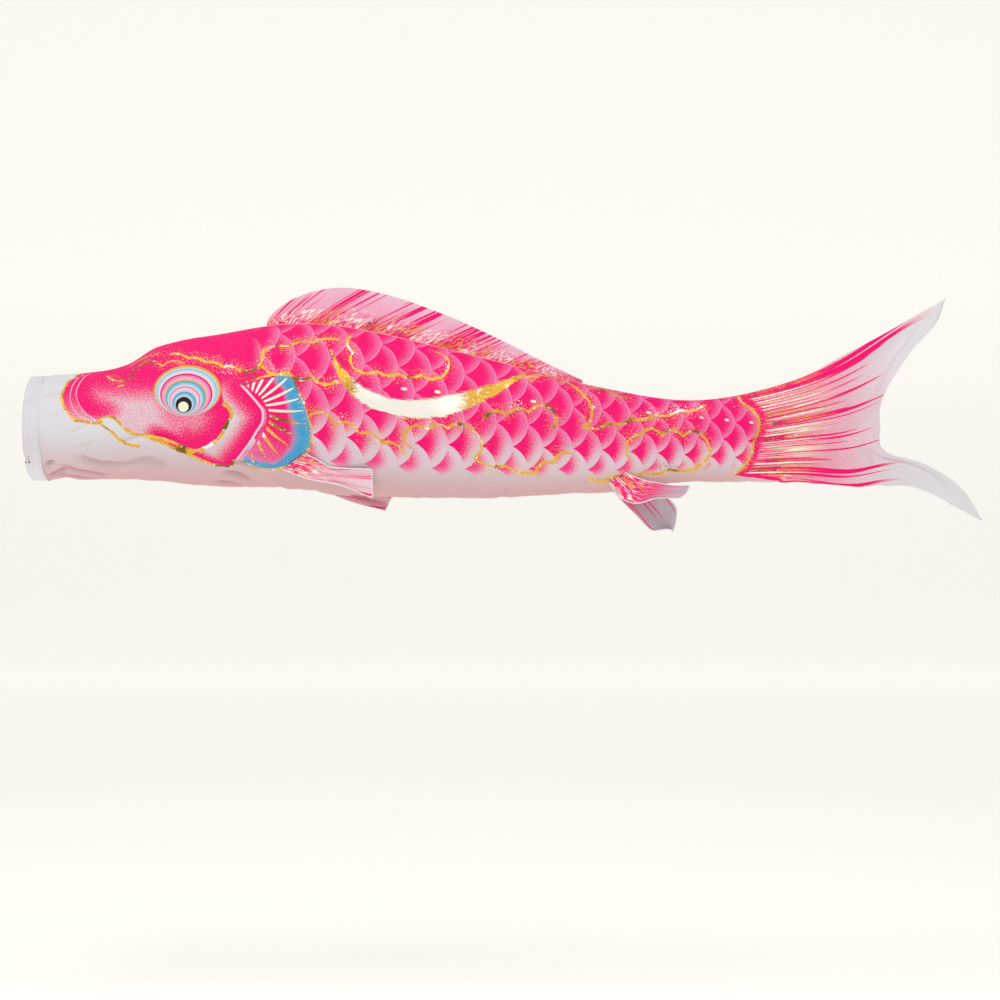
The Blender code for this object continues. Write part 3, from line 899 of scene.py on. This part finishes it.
def arcs(start, *legs):
    """Points along a chain of bowed legs, each of them part of a parabola."""
    points = [np.array(start, float)]
    for end, bulge in legs:
        a, b = points[-1], np.array(end, float)
        chord = b - a
        left = np.array((-chord[1], chord[0]))
        for k in range(1, LEG_STEPS + 1):
            t = k / LEG_STEPS
            points.append(a + t * chord + 4 * bulge * t * (1 - t) * left)
    return np.array(points)


def scallops(start, *runs):
    """Points along runs of equal scallops. A run is its end, its count and its bulge."""
    legs = []
    last = np.array(start, float)
    for end, count, bulge in runs:
        step = (np.array(end, float) - last) / count
        legs += [(last + step * (k + 1), bulge) for k in range(count)]
        last = last + step * count
    return arcs(start, *legs)


def on_cloth(points):
    """Side-view points as (distance from the mouth, arc from the back seam)."""
    x, z = np.array(points).T
    middle, height, _ = section(x)
    angle = np.arccos(np.clip((z - middle) / height, -1, 1))
    return joined(x, cloth_arc(x, angle))


LIP_LINE = arcs((0.083, 0.090), ((0.083, 0.010), -0.31), ((0.115, 0.005), 0.0))
LIP_FOLDS = (
    arcs((0.090, 0.090), ((0.090, 0.015), -0.25), ((0.115, 0.008), 0.0)),
    arcs((0.100, 0.090), ((0.100, 0.020), -0.27), ((0.115, 0.010), 0.0)),
)
NOSTRIL = arcs((0.145, 0.061), ((0.155, 0.064), 0.1))
SNOUT_LINE = arcs((0.125, 0.080), ((0.165, 0.075), -0.15), ((0.215, 0.095), 0.30), ((0.245, 0.100), 0.20))
BROW_LINE = arcs((0.165, 0.098), ((0.205, 0.115), 0.05))
CROWN_LINE = scallops(
    (0.225, 0.115), ((0.335, 0.088), 4, 0.12), ((0.370, 0.120), 1, -0.30), ((0.485, 0.138), 3, 0.10)
)
MOUTH_LINE = arcs(
    (0.115, 0.006), ((0.130, 0.016), 0.15), ((0.150, 0.006), 0.15), ((0.172, -0.012), -0.05),
    ((0.195, -0.014), 0.0), ((0.265, -0.038), 0.03),
)
MOUTH_CORNER = arcs((0.115, 0.006), ((0.121, 0.008), 0.0))
BARBEL = arcs((0.118, 0.006), ((0.145, -0.015), 0.05), ((0.180, -0.030), -0.12))
CHEEK_LINE = arcs((0.240, -0.031), ((0.268, -0.036), -0.12), ((0.315, 0.005), -0.14), ((0.312, 0.036), -0.30))
CHIN_LINE = arcs((0.190, -0.015), ((0.265, -0.046), 0.0), ((0.310, -0.059), -0.04), ((0.325, -0.053), -0.20))
COVER_EDGE = arcs((0.338, 0.065), ((0.370, 0.028), 0.02), ((0.362, -0.005), 0.14), ((0.325, -0.055), 0.03))
FAN_LEGS = (
    ((0.360, 0.075), 0.04), ((0.405, 0.081), 0.06), ((0.422, 0.065), 0.20), ((0.442, 0.015), 0.02),
    ((0.445, -0.020), 0.06), ((0.415, -0.058), 0.16), ((0.375, -0.065), 0.08), ((0.335, -0.055), 0.04),
)
FAN_EDGE = arcs((0.338, 0.065), *FAN_LEGS)
FAN_OUTLINE = arcs(
    (0.338, 0.065), *FAN_LEGS, ((0.368, -0.005), -0.03), ((0.375, 0.028), -0.14), ((0.338, 0.065), -0.02)
)
FAN_CENTRE = (0.348, 0.030)
FAN_TOP_ANGLE, FAN_SPREAD = radians(56), radians(152)
FAN_RAY_START, FAN_RAY_LENGTH = 0.024, 0.078
# Clouds of gold foil, as runs of scallops.
CLOUDS = (
    scallops((0.370, 0.095), ((0.485, 0.070), 3, -0.20)),
    scallops((0.505, 0.145), ((0.515, 0.090), 2, -0.25), ((0.650, 0.080), 4, -0.15),
             ((0.640, 0.120), 1, -0.35)),
    scallops((0.445, 0.020), ((0.520, -0.010), 2, 0.25), ((0.590, -0.040), 2, 0.20)),
    scallops((0.600, -0.030), ((0.595, -0.005), 1, 0.35), ((0.690, 0.000), 3, 0.22),
             ((0.700, -0.050), 1, 0.30), ((0.795, -0.070), 2, -0.10)),
    scallops((0.795, -0.070), ((0.850, -0.040), 2, 0.22)),
    scallops((0.715, 0.015), ((0.820, 0.030), 3, 0.22), ((0.820, 0.000), 1, 0.30)),
    scallops((0.780, 0.080), ((0.880, 0.040), 1, 0.15), ((0.870, 0.000), 1, 0.20),
             ((1.060, 0.035), 5, -0.12)),
    scallops((0.870, 0.075), ((0.940, 0.050), 2, -0.12)),
    scallops((0.940, -0.045), ((0.960, -0.010), 1, 0.30), ((1.060, -0.015), 3, 0.28),
             ((1.050, -0.060), 1, 0.30), ((0.880, -0.080), 4, 0.12)),
)
STROKE_OUTLINE = arcs(
    (0.475, 0.120), ((0.570, 0.020), -0.17), ((0.665, 0.020), -0.07), ((0.785, 0.090), -0.05),
    ((0.630, 0.045), 0.03), ((0.475, 0.120), 0.17),
)
SCALE_END = arcs((1.095, 0.062), ((1.120, 0.040), 0.16), ((1.138, -0.022), 0.27), ((1.108, -0.072), 0.14))
FOREHEAD = arcs((0.338, 0.065), ((0.345, 0.100), -0.06), ((0.345, 0.165), 0.0))
SCALE_OUTLINE = np.concatenate((
    SCALE_END,
    arcs((0.900, -0.092), ((0.700, -0.106), 0.0), ((0.520, -0.100), 0.0), ((0.376, -0.075), 0.0),
         ((0.325, -0.055), 0.0)),
    COVER_EDGE[::-1], FOREHEAD,
    arcs((0.370, 0.200), ((0.500, 0.190), 0.0), ((0.900, 0.090), 0.0), ((1.095, 0.090), 0.0)),
))
# Half widths of the drawn lines.
THIN_LINE = 0.0011
FINE_LINE = 0.0014
GOLD_LINE = 0.0020
BOLD_LINE = 0.0030
PALE_LINE = 0.0020
# Half widths from a line beyond which its distance isn't worked out.
LINE_FAR = 15.0


def distance_to(path, x, arc):
    """Distance on the cloth from points to a path of laid-out points."""
    nearest = np.full(np.shape(x), np.inf)
    for (ax, ay), (bx, by) in zip(path[:-1], path[1:]):
        dx, dy = bx - ax, by - ay
        length = max(dx * dx + dy * dy, 1e-12)
        t = np.clip(((x - ax) * dx + (arc - ay) * dy) / length, 0, 1)
        nearest = np.minimum(nearest, (x - ax - t * dx) ** 2 + (arc - ay - t * dy) ** 2)
    return np.sqrt(nearest)


def depth_in(outline, x, arc):
    """Distance on the cloth from points to the edge of a closed outline, negative outside it."""
    crossings = np.zeros(np.shape(x), int)
    laid = on_cloth(outline)
    closed = np.concatenate((laid, laid[:1]))
    for (ax, ay), (bx, by) in zip(closed[:-1], closed[1:]):
        if ay == by:
            continue
        spans = (ay > arc) != (by > arc)
        crossings += spans & (x < ax + (arc - ay) * (bx - ax) / (by - ay))
    return np.where(crossings % 2 == 1, 1, -1) * distance_to(closed, x, arc)


def line_strength(paths, x, arc):
    """Squared distance to the nearest of (path, half width) pairs, in half widths."""
    nearest = np.full(np.shape(x), LINE_FAR)
    for path, width in paths:
        laid = on_cloth(path)
        low, high = laid.min(axis=0) - LINE_FAR * width, laid.max(axis=0) + LINE_FAR * width
        near = (x > low[0]) & (x < high[0]) & (arc > low[1]) & (arc < high[1])
        nearest[near] = np.minimum(nearest[near], distance_to(laid, x[near], arc[near]) / width)
    return nearest**2


EYE_SEARCH = 0.052
EYE_FRONT, EYE_LOW = 0.247, 0.026  # where the nested ovals would shrink to a point
# The middle of an oval lies further back and higher by these shares of its radius.
EYE_BACK, EYE_UP = 0.16, 0.68
# An oval gets wider and lower by up to this share, which grows over a range of radii.
EYE_STRETCH, EYE_STRETCH_START, EYE_STRETCH_RANGE = 0.14, 0.0087, 0.036
EYE_STEPS = 24


def eye_ring(x, z):
    """Size of the eye ring through a point: nested ovals that sink together towards the pupil."""
    low, high = np.full(np.shape(x), 0.001), np.full(np.shape(x), EYE_SEARCH)
    for _ in range(EYE_STEPS):
        r = (low + high) / 2
        oval = EYE_STRETCH * np.clip((r - EYE_STRETCH_START) / EYE_STRETCH_RANGE, 0, 1)
        across = (x - EYE_FRONT - EYE_BACK * r) / (r * (1 + oval))
        above = (z - EYE_LOW - EYE_UP * r) / (r * (1 - oval))
        inside = across**2 + above**2 < 1
        high = np.where(inside, r, high)
        low = np.where(inside, low, r)
    return (low + high) / 2


# The scales get shorter and their rows closer towards the tail: distance from the mouth, length of a
# scale, distance between rows. The rows run along the side line.
SCALE_SIZES = (
    (0.20, 0.053, 0.0405),
    (0.60, 0.0525, 0.0395),
    (0.85, 0.046, 0.033),
    (1.15, 0.038, 0.0265),
)
# How far back the scales are counted, and the share of a scale by which they are shifted.
SCALES_COUNTED_TO = 1.2
SCALE_SHIFT = 0.35
SIDE_LINE = arcs((0.20, 0.088), ((0.483, 0.066), 0.0), ((0.860, 0.032), 0.0), ((1.150, 0.005), 0.0))


def scale_place(x, arc):
    """Scale counts along the body and across it."""
    first, last = SCALE_SIZES[0][0], SCALE_SIZES[-1][0]
    steps = np.linspace(first, SCALES_COUNTED_TO, 400)
    pitch = smooth_value(SCALE_SIZES, np.clip(steps, first, last), 1)
    counted = np.concatenate(([0.0], np.cumsum(np.diff(steps) / pitch[:-1])))
    p = np.interp(x, steps, counted)
    line = on_cloth(SIDE_LINE)
    row_size = smooth_value(SCALE_SIZES, np.clip(x, first, last), 2)
    return p + SCALE_SHIFT, (arc - np.interp(x, line[:, 0], line[:, 1])) / row_size


HEAD_OUTLINE = np.concatenate((
    LIP_LINE, MOUTH_LINE, CHIN_LINE, COVER_EDGE[::-1], arcs((0.353, 0.068), ((0.353, 0.180), 0.0)),
    arcs((0.300, 0.190), ((0.150, 0.140), 0.0), ((0.066, 0.100), 0.0)),
))
CHEEK_OUTLINE = np.concatenate((
    CHEEK_LINE, arcs((0.312, 0.036), ((0.305, 0.090), 0.05), ((0.270, 0.160), 0.0), ((0.030, 0.110), 0.0),
                     ((0.030, -0.020), 0.0), ((0.240, -0.031), 0.0)),
))
LIP_OUTLINE = np.concatenate((LIP_LINE, LIP_FOLDS[1][::-1]))


def head_ink(x, z, arc):
    """Airbrushed magenta of the head: crown, snout, jaw, a blush at the cheek and one at the gill."""
    def spray(path, far, near):
        return ease(distance_to(on_cloth(path), x, arc), far, near)

    inside = ease(depth_in(HEAD_OUTLINE, x, arc), -0.0008, 0.0008)
    lips = depth_in(LIP_OUTLINE, x, arc) > 0
    crown = ease(z, 0.005, 0.085)
    snout = spray(LIP_FOLDS[1], 0.072, 0.004) * ease(z, -0.012, 0.030)
    blush = spray(CHEEK_LINE, 0.082, 0.004) * ease(x - z * 0.2, 0.190, 0.265)
    jaw = spray(MOUTH_LINE, 0.036, 0.003) * ease(x, 0.165, 0.215)
    behind_eye = 0.75 * ease(x - z * 0.25, 0.225, 0.290)
    under_eye = 0.58 * ease(x + z * 0.4, 0.175, 0.240)
    gill = spray(COVER_EDGE, 0.052, 0.004)
    chin = 0.95 * spray(CHIN_LINE, 0.022, 0.002)
    top = ease(z, 0.020, 0.090)
    in_front = ease(depth_in(CHEEK_OUTLINE, x, arc), -0.0015, 0.0015)
    front = np.maximum.reduce([crown, snout, blush, jaw, behind_eye, under_eye])
    front = np.where(lips, 0.45 + 0.50 * ease(z, 0.0, 0.070), np.maximum(front, 0.32))
    back = np.maximum.reduce([gill, chin, top])
    return inside * np.clip(in_front * front + (1 - in_front) * back, 0.16, 1)


def body_fields(x, angle, arc):
    """Every number that the body's material reads, for each point of a side cloth."""
    middle, height, _ = section(x)
    z = middle + height * np.cos(angle)
    low = ease(angle, 1.55, 3.0) * ease(x, 1.30, 1.05)
    ground = blended(WHITE, SHADED_WHITE, 0.9 * low)

    dusty = np.where(x < 0.335, ease(z, 0.055, 0.070) * ease(x, 0.12, 0.14), 1.0)
    p, q = scale_place(x, arc)
    region = depth_in(SCALE_OUTLINE, x, arc)
    belly = 1.5 * ease(angle, 1.10, 2.60)
    gold = [(LIP_LINE, GOLD_LINE), (SNOUT_LINE, FINE_LINE), (BROW_LINE, FINE_LINE), (CROWN_LINE, GOLD_LINE),
            (MOUTH_LINE, GOLD_LINE), (CHEEK_LINE, BOLD_LINE), (BARBEL, GOLD_LINE), (CHIN_LINE, GOLD_LINE),
            (FAN_EDGE, FINE_LINE), (SCALE_END, GOLD_LINE), (NOSTRIL, FINE_LINE), (MOUTH_CORNER, BOLD_LINE)]
    gold += [(cloud, GOLD_LINE) for cloud in CLOUDS]
    pale = [(line, THIN_LINE) for line in LIP_FOLDS] + [(COVER_EDGE, PALE_LINE)]
    stroke = depth_in(STROKE_OUTLINE, x, arc)
    fan = depth_in(FAN_OUTLINE, x, arc)
    from_edge = distance_to(on_cloth(FAN_EDGE), x, arc)
    dx, dz = x - FAN_CENTRE[0], z - FAN_CENTRE[1]
    fan_angle = (FAN_TOP_ANGLE - np.arctan2(dz, dx)) / FAN_SPREAD
    fan_reach = (np.hypot(dx, dz) - FAN_RAY_START) / FAN_RAY_LENGTH
    blue_depth = from_edge / (0.010 + 0.014 * ease(x, 0.385, 0.425)) + 2 * ease(x - z, 0.325, 0.300)
    behind = tail_depth(x, z, arc, region)
    stripe = np.cos(angle) + 0.05 * np.sin(x * 26.0) * ease(x, 1.16, 1.30)
    ring = np.full(x.shape, EYE_SEARCH)
    near = (np.abs(x - EYE_FRONT - 0.007) < 0.06) & (np.abs(z - EYE_LOW - 0.031) < 0.05)
    ring[near] = eye_ring(x[near], z[near])
    tail_ink = 0.50 * ease(behind, 0.0, 0.02) * ease(x, 1.44, 1.22)
    ink = np.maximum(head_ink(x, z, arc), tail_ink)
    return {
        "cloth_place": joined(x, arc, dusty),
        "scale_place": joined(p, q, region),
        "line_place": joined(line_strength(gold, x, arc), line_strength(pale, x, arc), stroke),
        "head_place": joined(ring, fan, ink),
        "fan_place": joined(fan_angle, fan_reach, blue_depth),
        "tail_place": joined(stripe, behind, belly),
        "ground": ground,
    }


def tail_depth(x, z, arc, region):
    """Distance behind the end of the scales, negative in front of it and on the white belly strip."""
    to_end = distance_to(on_cloth(SCALE_END), x, arc)
    behind = np.where((region < 0) & (x > 1.07), to_end, -to_end)
    above_strip = z + 0.072 + 0.14 * (np.clip(x, 1.10, 1.25) - 1.10)
    return np.minimum(behind, above_strip * 2 + 0.5 * ease(x, 1.18, 1.24))


# -------- pieces

# Lengths of the side cloths: name, end, the bodies on both sides of the joint that they cross, and
# the CAD nodes they stand for, of which the first changes shape at the joint.
BODY_PIECES = (
    ("head_cloth", 0.21, ("mouth", "head"), ("collar", "head_panel")),
    ("shoulder_cloth", 0.61, ("head", "trunk"), ("neck", "trunk_panel")),
    ("waist_cloth", 1.00, ("trunk", "rear"), ("waist", "rear_panel")),
    ("tail_cloth", None, ("rear", "tail"), ("tail_stem", "tail_panel")),
)


def side_cloths(side_name):
    """One side of the streamer, continuous from the hem to the fork, in four pieces that share edges."""
    x, angle = body_places()
    arc = cloth_arc(x, angle)
    points, inner, normals, even = body_points(x, angle, arc, SIDES[side_name], SEEDS[side_name])
    fields = {name: with_allowances(values) for name, values in body_fields(x, angle, arc).items()}
    start = 0
    for name, end, bodies, nodes in BODY_PIECES:
        stop = len(x) - 1 if end is None else int(np.searchsorted(x[:, 0], end))
        rows = slice(start, stop + 1)
        cut = {key: values[rows] for key, values in fields.items()}
        piece = add_sheet(
            f"{name}_{side_name}", points[rows], normals[rows], cut, (PRINTED, PRINTED_INSIDE),
            inner_points=inner[rows],
        )
        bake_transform(piece)
        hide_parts(*(f"{node}_{side_name}" for node in nodes))
        declare(even[rows], axes=(1, 2))
        start = stop


HEM_COLUMNS = 320
# A power below 1 makes the roll round the hoop squarer than a circle.
ROLL_POWER = 0.8
# Behind the hoop the inner layer steps out to the outer one: distance from the mouth, step.
HEM_STEP = ((0.006, 0.0), (0.0075, 0.0010), (0.0088, 0.0035))
HEM_CRUMPLE = 0.00035
# The tie slots: how far back they reach, half their width, and their angles from the top.
SLOT_REACH = 0.009
SLOT_HALF_WIDTH = 0.007
TIE_ANGLES = (0.0, radians(128), radians(-128))


def hem_profile():
    """(x, radius) along the turned hem: its outer layer, the roll round the hoop, its inner layer."""
    roll = (HEM_RADIUS - HEM_INNER_RADIUS) / 2
    middle = HEM_RADIUS - roll
    back = [(HEM_END - 0.0011 * k, HEM_RADIUS - 0.0002) for k in range(22)]
    turns = [(sin(a), cos(a)) for a in np.linspace(0, pi, 13)]
    front = [
        (roll - roll * s**ROLL_POWER, middle + roll * copysign(abs(c) ** ROLL_POWER, c)) for s, c in turns
    ]
    under = [(x, HEM_RADIUS - 2 * roll + rise) for x, rise in HEM_STEP]
    tail = [(x, HEM_RADIUS - 0.0012) for x in np.linspace(0.0105, HEM_END - 0.001, 12)]
    return np.array([p for p in back if p[0] > roll + 0.0004] + front + under + tail)


def hem_piece(side_name):
    """Half of the hem, with its tie slots left open over the hoop."""
    side = SIDES[side_name]
    profile = hem_profile()
    angles = np.linspace(0.002, pi - 0.002, HEM_COLUMNS // 2) * side
    radius = profile[:, 1][:, None]
    x = np.repeat(profile[:, 0][:, None], len(angles), axis=1)
    crumple = HEM_CRUMPLE * waves(x * 3, np.abs(angles)[None, :] * 0.08, 9, 9, 0.020) * ease(x, 0.009, 0.014)
    around = radius + crumple * (profile[:, 1] > 0.079)[:, None]
    points = joined(x, around * np.sin(angles), around * np.cos(angles))
    even = joined(x, radius * np.sin(angles), radius * np.cos(angles))
    along = np.gradient(profile, axis=0)
    out_x, out_r = -along[:, 1][:, None], along[:, 0][:, None]
    outward = joined(out_x, out_r * np.sin(angles), out_r * np.cos(angles)) * -1
    normals = grid_normals(points, outward)
    middle_x = (profile[1:, 0] + profile[:-1, 0]) / 2
    middle_angle = (angles[1:] + angles[:-1]) / 2
    keep = np.ones((len(middle_x), len(middle_angle)), bool)
    for tie in TIE_ANGLES:
        beside = np.abs((middle_angle - side * abs(tie) + pi) % (2 * pi) - pi) * HEM_RADIUS
        keep &= ~((middle_x[:, None] < SLOT_REACH) & (beside[None, :] < SLOT_HALF_WIDTH))
    length = np.concatenate(([0.0], np.cumsum(np.linalg.norm(np.diff(profile, axis=0), axis=1))))
    place = joined(length[:, None], angles * HEM_RADIUS, 0.0)
    piece = add_sheet(f"hem_{side_name}", points, normals, {"cloth_place": place}, (HEM_CLOTH,), keep)
    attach(piece, "mouth")
    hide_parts(f"mouth_hem_{side_name}")
    declare(even)


def hem_stitches():
    """Two rows of stitches: one that closes the casing behind the hoop, one at the hem's rear edge."""
    for name, x in (("casing_stitches", 0.0115), ("hem_edge_stitches", 0.0235)):
        angles = np.linspace(0, 2 * pi, 361)
        normals = joined(0.0, np.sin(angles), np.cos(angles))
        line = normals * HEM_RADIUS + np.array((x, 0, 0))
        add_stitches(name, line, normals, "mouth")


DORSAL_ROWS = 225
DORSAL_COLUMNS = 30
DORSAL_GAP, DORSAL_EXTRA = 0.0004, 0.0008
# The fin's rays: their lean from front to back, and the length of fin that they are counted over.
DORSAL_LEANS = ((0.37, 0.50, 0.87), (0.95, 1.30, 1.55))
DORSAL_RAY_LENGTH = 0.075


def dorsal_fin():
    """The fin that stands along the back seam, with a slight wave."""
    along = np.linspace(0, 1, DORSAL_ROWS)[:, None]
    x = DORSAL_START + (DORSAL_END - DORSAL_START) * along
    share = np.linspace(0, 1, DORSAL_COLUMNS)[None, :]
    foot = smooth_value(STATIONS, x, 1)
    height = DORSAL_LEAST + (DORSAL_HEIGHT - DORSAL_LEAST) * np.sin(pi * along**DORSAL_POWER)
    z = foot + DORSAL_GAP + (height + DORSAL_EXTRA) * share
    y = 0.0035 * np.sin(x * 34.0) * share**1.5 + 0.0020 * np.sin(x * 71.0 + 1.0) * share**2
    points = joined(x, y, z)
    normals = grid_normals(points, np.array((0.0, -1.0, 0.0)))
    above = height * share
    lean = np.interp(x, *DORSAL_LEANS)
    ray = (x - above * lean) / DORSAL_RAY_LENGTH
    reach = above / 0.062
    whiter = ease(share + 0.6 * (x - 0.5), 0.75, 1.5)
    ground = blended(PALE_PINK, WHITE, whiter)
    fields = {
        "cloth_place": joined(x, above, 0.0),
        "fin_place": joined(ray, share * 0.55 + reach * 0.45, 1.0),
        "ground": ground,
    }
    piece = add_sheet("dorsal_fin_cloth", points, normals, fields, (FIN_CLOTH,))
    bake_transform(piece)
    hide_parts("dorsal_fin")
    declare(points * np.array((1.0, 0.0, 1.0)))


FIN_ROWS = 56
FIN_COLUMNS = 34
FIN_RIPPLE = 0.0026
PIPING_RADIUS = 0.0009


def edge_points(points, t):
    """Points at shares t along a smooth curve through evenly spaced points."""
    table = [(k / (len(points) - 1), *p) for k, p in enumerate(points)]
    return joined(*(smooth_value(table, t, column) for column in (1, 2, 3)))


def fin_edges(root, edges, side):
    """The lower and upper edge of a paired fin on one side, each starting on the root."""
    full = []
    for (x, z), free in zip(root, edges):
        middle, height, width = section(x)
        skin = float(width * np.sqrt(1 - ((z - middle) / height) ** 2))
        points = [(x, skin + ROOT_GAP, z), *free]
        full.append([(px, side * out, pz) for px, out, pz in points])
    return full


def fin_shape(lower, upper, side, look):
    """Outer points, even shape, and the shares along and across a fin between its two edges."""
    t = np.linspace(0, 1, FIN_ROWS)
    s = np.linspace(0, 1, FIN_COLUMNS)[None, :, None]
    low, high = edge_points(lower, t)[:, None], edge_points(upper, t)[:, None]
    points = low + (high - low) * s
    along = t[:, None] + 0 * s[..., 0]
    across = s[..., 0] + 0 * along
    outwards = points[-1] - points[-2]
    outwards /= np.linalg.norm(outwards, axis=1, keepdims=True)
    rounding = look["round_end"] * np.sin(pi * across) ** 0.7 * along**6
    points += rounding[..., None] * outwards[None]
    even = points.copy()
    bulge = look["bow"] * np.sin(pi * across) * np.minimum(1, 3 * along)
    ripple = FIN_RIPPLE * np.sin(across * 9.0 + along * 5.0) * ease(along, 0.15, 0.8)
    points[..., 1] += side * (bulge + ripple)
    return points, even, along, across


def fin_bend(points, look):
    """Where a fin starts to turn, at the middle of its root, and where it has turned fully."""
    start = (points[0, 0] + points[0, -1]) / 2
    root_line = points[0, -1] - points[0, 0]
    free = points[-1, FIN_COLUMNS // 2] - start
    free -= root_line * (free @ root_line) / (root_line @ root_line)
    end = start + free / np.linalg.norm(free) * look["bend"]
    return {"start": tuple(start), "end": tuple(end)}


def paired_fin(name, root, edges, look):
    """A cloth fin that is sewn on along its root, with white piping round its free edges."""
    side = SIDES[name.rsplit("_", 1)[1]]
    lower, upper = fin_edges(root, edges, side)
    points, even, along, across = fin_shape(lower, upper, side, look)
    normals = grid_normals(points, np.array((0.0, side, 0.0)))
    ground = blended(look["root"], look["end"], ease(along, *look["turn"]))
    streaks = across * look["rays"] + along * look["slant"]
    fields = {
        "cloth_place": joined(points[..., 0], points[..., 2], 0.0),
        "fin_place": joined(streaks, along * look["reach"], look["ink"]),
        "ground": ground,
    }
    body = look["body"]
    bend = fin_bend(points, look)
    piece = add_sheet(f"{name}_cloth", points, normals, fields, (FIN_CLOTH,))
    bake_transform(piece)
    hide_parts(name)
    declare(even)
    border = np.concatenate((points[::-1, -1][::-1], points[-1, ::-1][1:], points[::-1, 0][1:]))
    piping = add_object(f"{name}_piping", tube_mesh(f"{name}_piping", [border], PIPING_RADIUS))
    piping.data.materials.append(PIPING)
    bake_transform(piping)
    add_stitches(f"{name}_stitches", points[3] + normals[3] * 0.0001, normals[3], (body, name, bend))


# Looks of the paired fins. "bow" is the bulge, "bend" the length that turns at the root, and "turn"
# says where along the fin the root's colour turns to the end's.
PECTORAL_LOOK = {
    "body": "trunk", "bow": 0.0, "bend": 0.030, "round_end": 0.0, "root": colour(250, 70, 70),
    "end": colour(242, 208, 218), "turn": (0.18, 0.36), "rays": 0.9, "slant": -0.5, "reach": 0.95, "ink": 0.9,
}
# The far pectoral fin's end is a darker copy of the near one's: painted shade.
FAR_PECTORAL_LOOK = PECTORAL_LOOK | {"end": colour(224, 186, 196), "reach": 0.8}
PELVIC_LOOK = {
    "body": "rear", "bow": 0.006, "bend": 0.022, "round_end": 0.004, "root": MAGENTA, "end": SHADED_TIP_LILAC,
    "turn": (0.35, 0.95), "rays": 0.9, "slant": 0.2, "reach": 1.0, "ink": 1.0,
}
# The far pelvic fin turns sooner to the grey lilac of painted shade.
FAR_PELVIC_LOOK = PELVIC_LOOK | {"round_end": 0.010, "turn": (0.1, 0.5), "reach": 1.5}


def paired_fins():
    """The two pectoral and two pelvic fins."""
    paired_fin("pectoral_fin_left", PECTORAL_ROOT, PECTORAL_LEFT, PECTORAL_LOOK)
    paired_fin("pectoral_fin_right", PECTORAL_ROOT, PECTORAL_RIGHT, FAR_PECTORAL_LOOK)
    paired_fin("pelvic_fin_left", PELVIC_ROOT, PELVIC_LEFT, PELVIC_LOOK)
    paired_fin("pelvic_fin_right", PELVIC_ROOT, PELVIC_RIGHT, FAR_PELVIC_LOOK)


# -------- stage


def add_stage():
    """A large pale floor that rises in a round sweep into a backdrop far behind the object."""
    floor_height, depth, half_width = -0.95, 6.0, 12.0
    wall, top, sweep = 9.0, 8.0, 2.0
    profile = [(-depth, floor_height), (wall - sweep, floor_height)]
    for k in range(1, 17):
        a = k / 16 * pi / 2
        profile.append((wall - sweep + sweep * sin(a), floor_height + sweep - sweep * cos(a)))
    profile.append((wall, top))
    vertices = [(x, y, z) for y, z in profile for x in (-half_width, half_width)]
    faces = [(2 * k, 2 * k + 1, 2 * k + 3, 2 * k + 2) for k in range(len(profile) - 1)]
    mesh = smooth_mesh("studio_floor", vertices, faces)
    floor = add_object("studio_floor", mesh)
    material = bpy.data.materials.new("studio_paper")
    material.use_nodes = True
    shader = material.node_tree.nodes["Principled BSDF"]
    shader.inputs["Base Color"].default_value = (0.93, 0.92, 0.885, 1)
    shader.inputs["Roughness"].default_value = 1.0
    shader.inputs["Specular IOR Level"].default_value = 0.0
    shader.inputs["Emission Color"].default_value = (1.0, 0.98, 0.94, 1)
    shader.inputs["Emission Strength"].default_value = 0.31
    mesh.materials.append(material)


def add_light(name, place, target, size, power):
    """A round lamp that faces a target."""
    data = bpy.data.lights.new(name, "AREA")
    data.shape = "DISK"
    data.size = size
    data.energy = power
    light = add_object(name, data)
    light.location = place
    direction = np.array(target) - np.array(place)
    light.rotation_euler = Vector(direction.tolist()).to_track_quat("-Z", "Y").to_euler()


def add_studio():
    """Soft light from all round, a key light above the mouth and a weak light in front."""
    world = bpy.data.worlds.new("studio")
    world.use_nodes = True
    sky = world.node_tree.nodes["Background"]
    sky.inputs["Color"].default_value = (0.98, 0.97, 0.95, 1)
    sky.inputs["Strength"].default_value = 0.56
    bpy.context.scene.world = world
    middle = (0.74, 0.0, 0.03)
    add_light("key", (0.2, -1.5, 2.7), middle, 1.4, 38)
    add_light("front_fill", (1.2, -3.4, 0.9), middle, 2.4, 9)
    bpy.context.scene.view_settings.view_transform = "Standard"


def add_camera():
    """Level, side-on, 3.5 m from the fish's left side."""
    data = bpy.data.cameras.new("camera")
    data.lens = 79.6
    data.sensor_width = 36.0
    camera = add_object("camera", data)
    camera.location = (0.7394, -3.5, -0.113)
    camera.rotation_euler = (radians(90), 0, 0)
    bpy.context.scene.camera = camera


add_camera()
add_studio()
add_stage()
THREAD = thread_material("sewing_thread")
PRINTED = body_material("printed_cloth_outside")
PRINTED_INSIDE = body_material("printed_cloth_inside", show_through=True)
FIN_CLOTH = fin_material("fin_print_cloth")
HEM_CLOTH = plain_cloth_material("hem_white_cloth", WHITE, colour(222, 214, 226))
PIPING = thread_material("white_piping")
side_cloths("left")
side_cloths("right")
hem_piece("left")
hem_piece("right")
hem_stitches()
dorsal_fin()
paired_fins()
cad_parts["mouth_hoop"].material_slots[0].material = hoop_material()
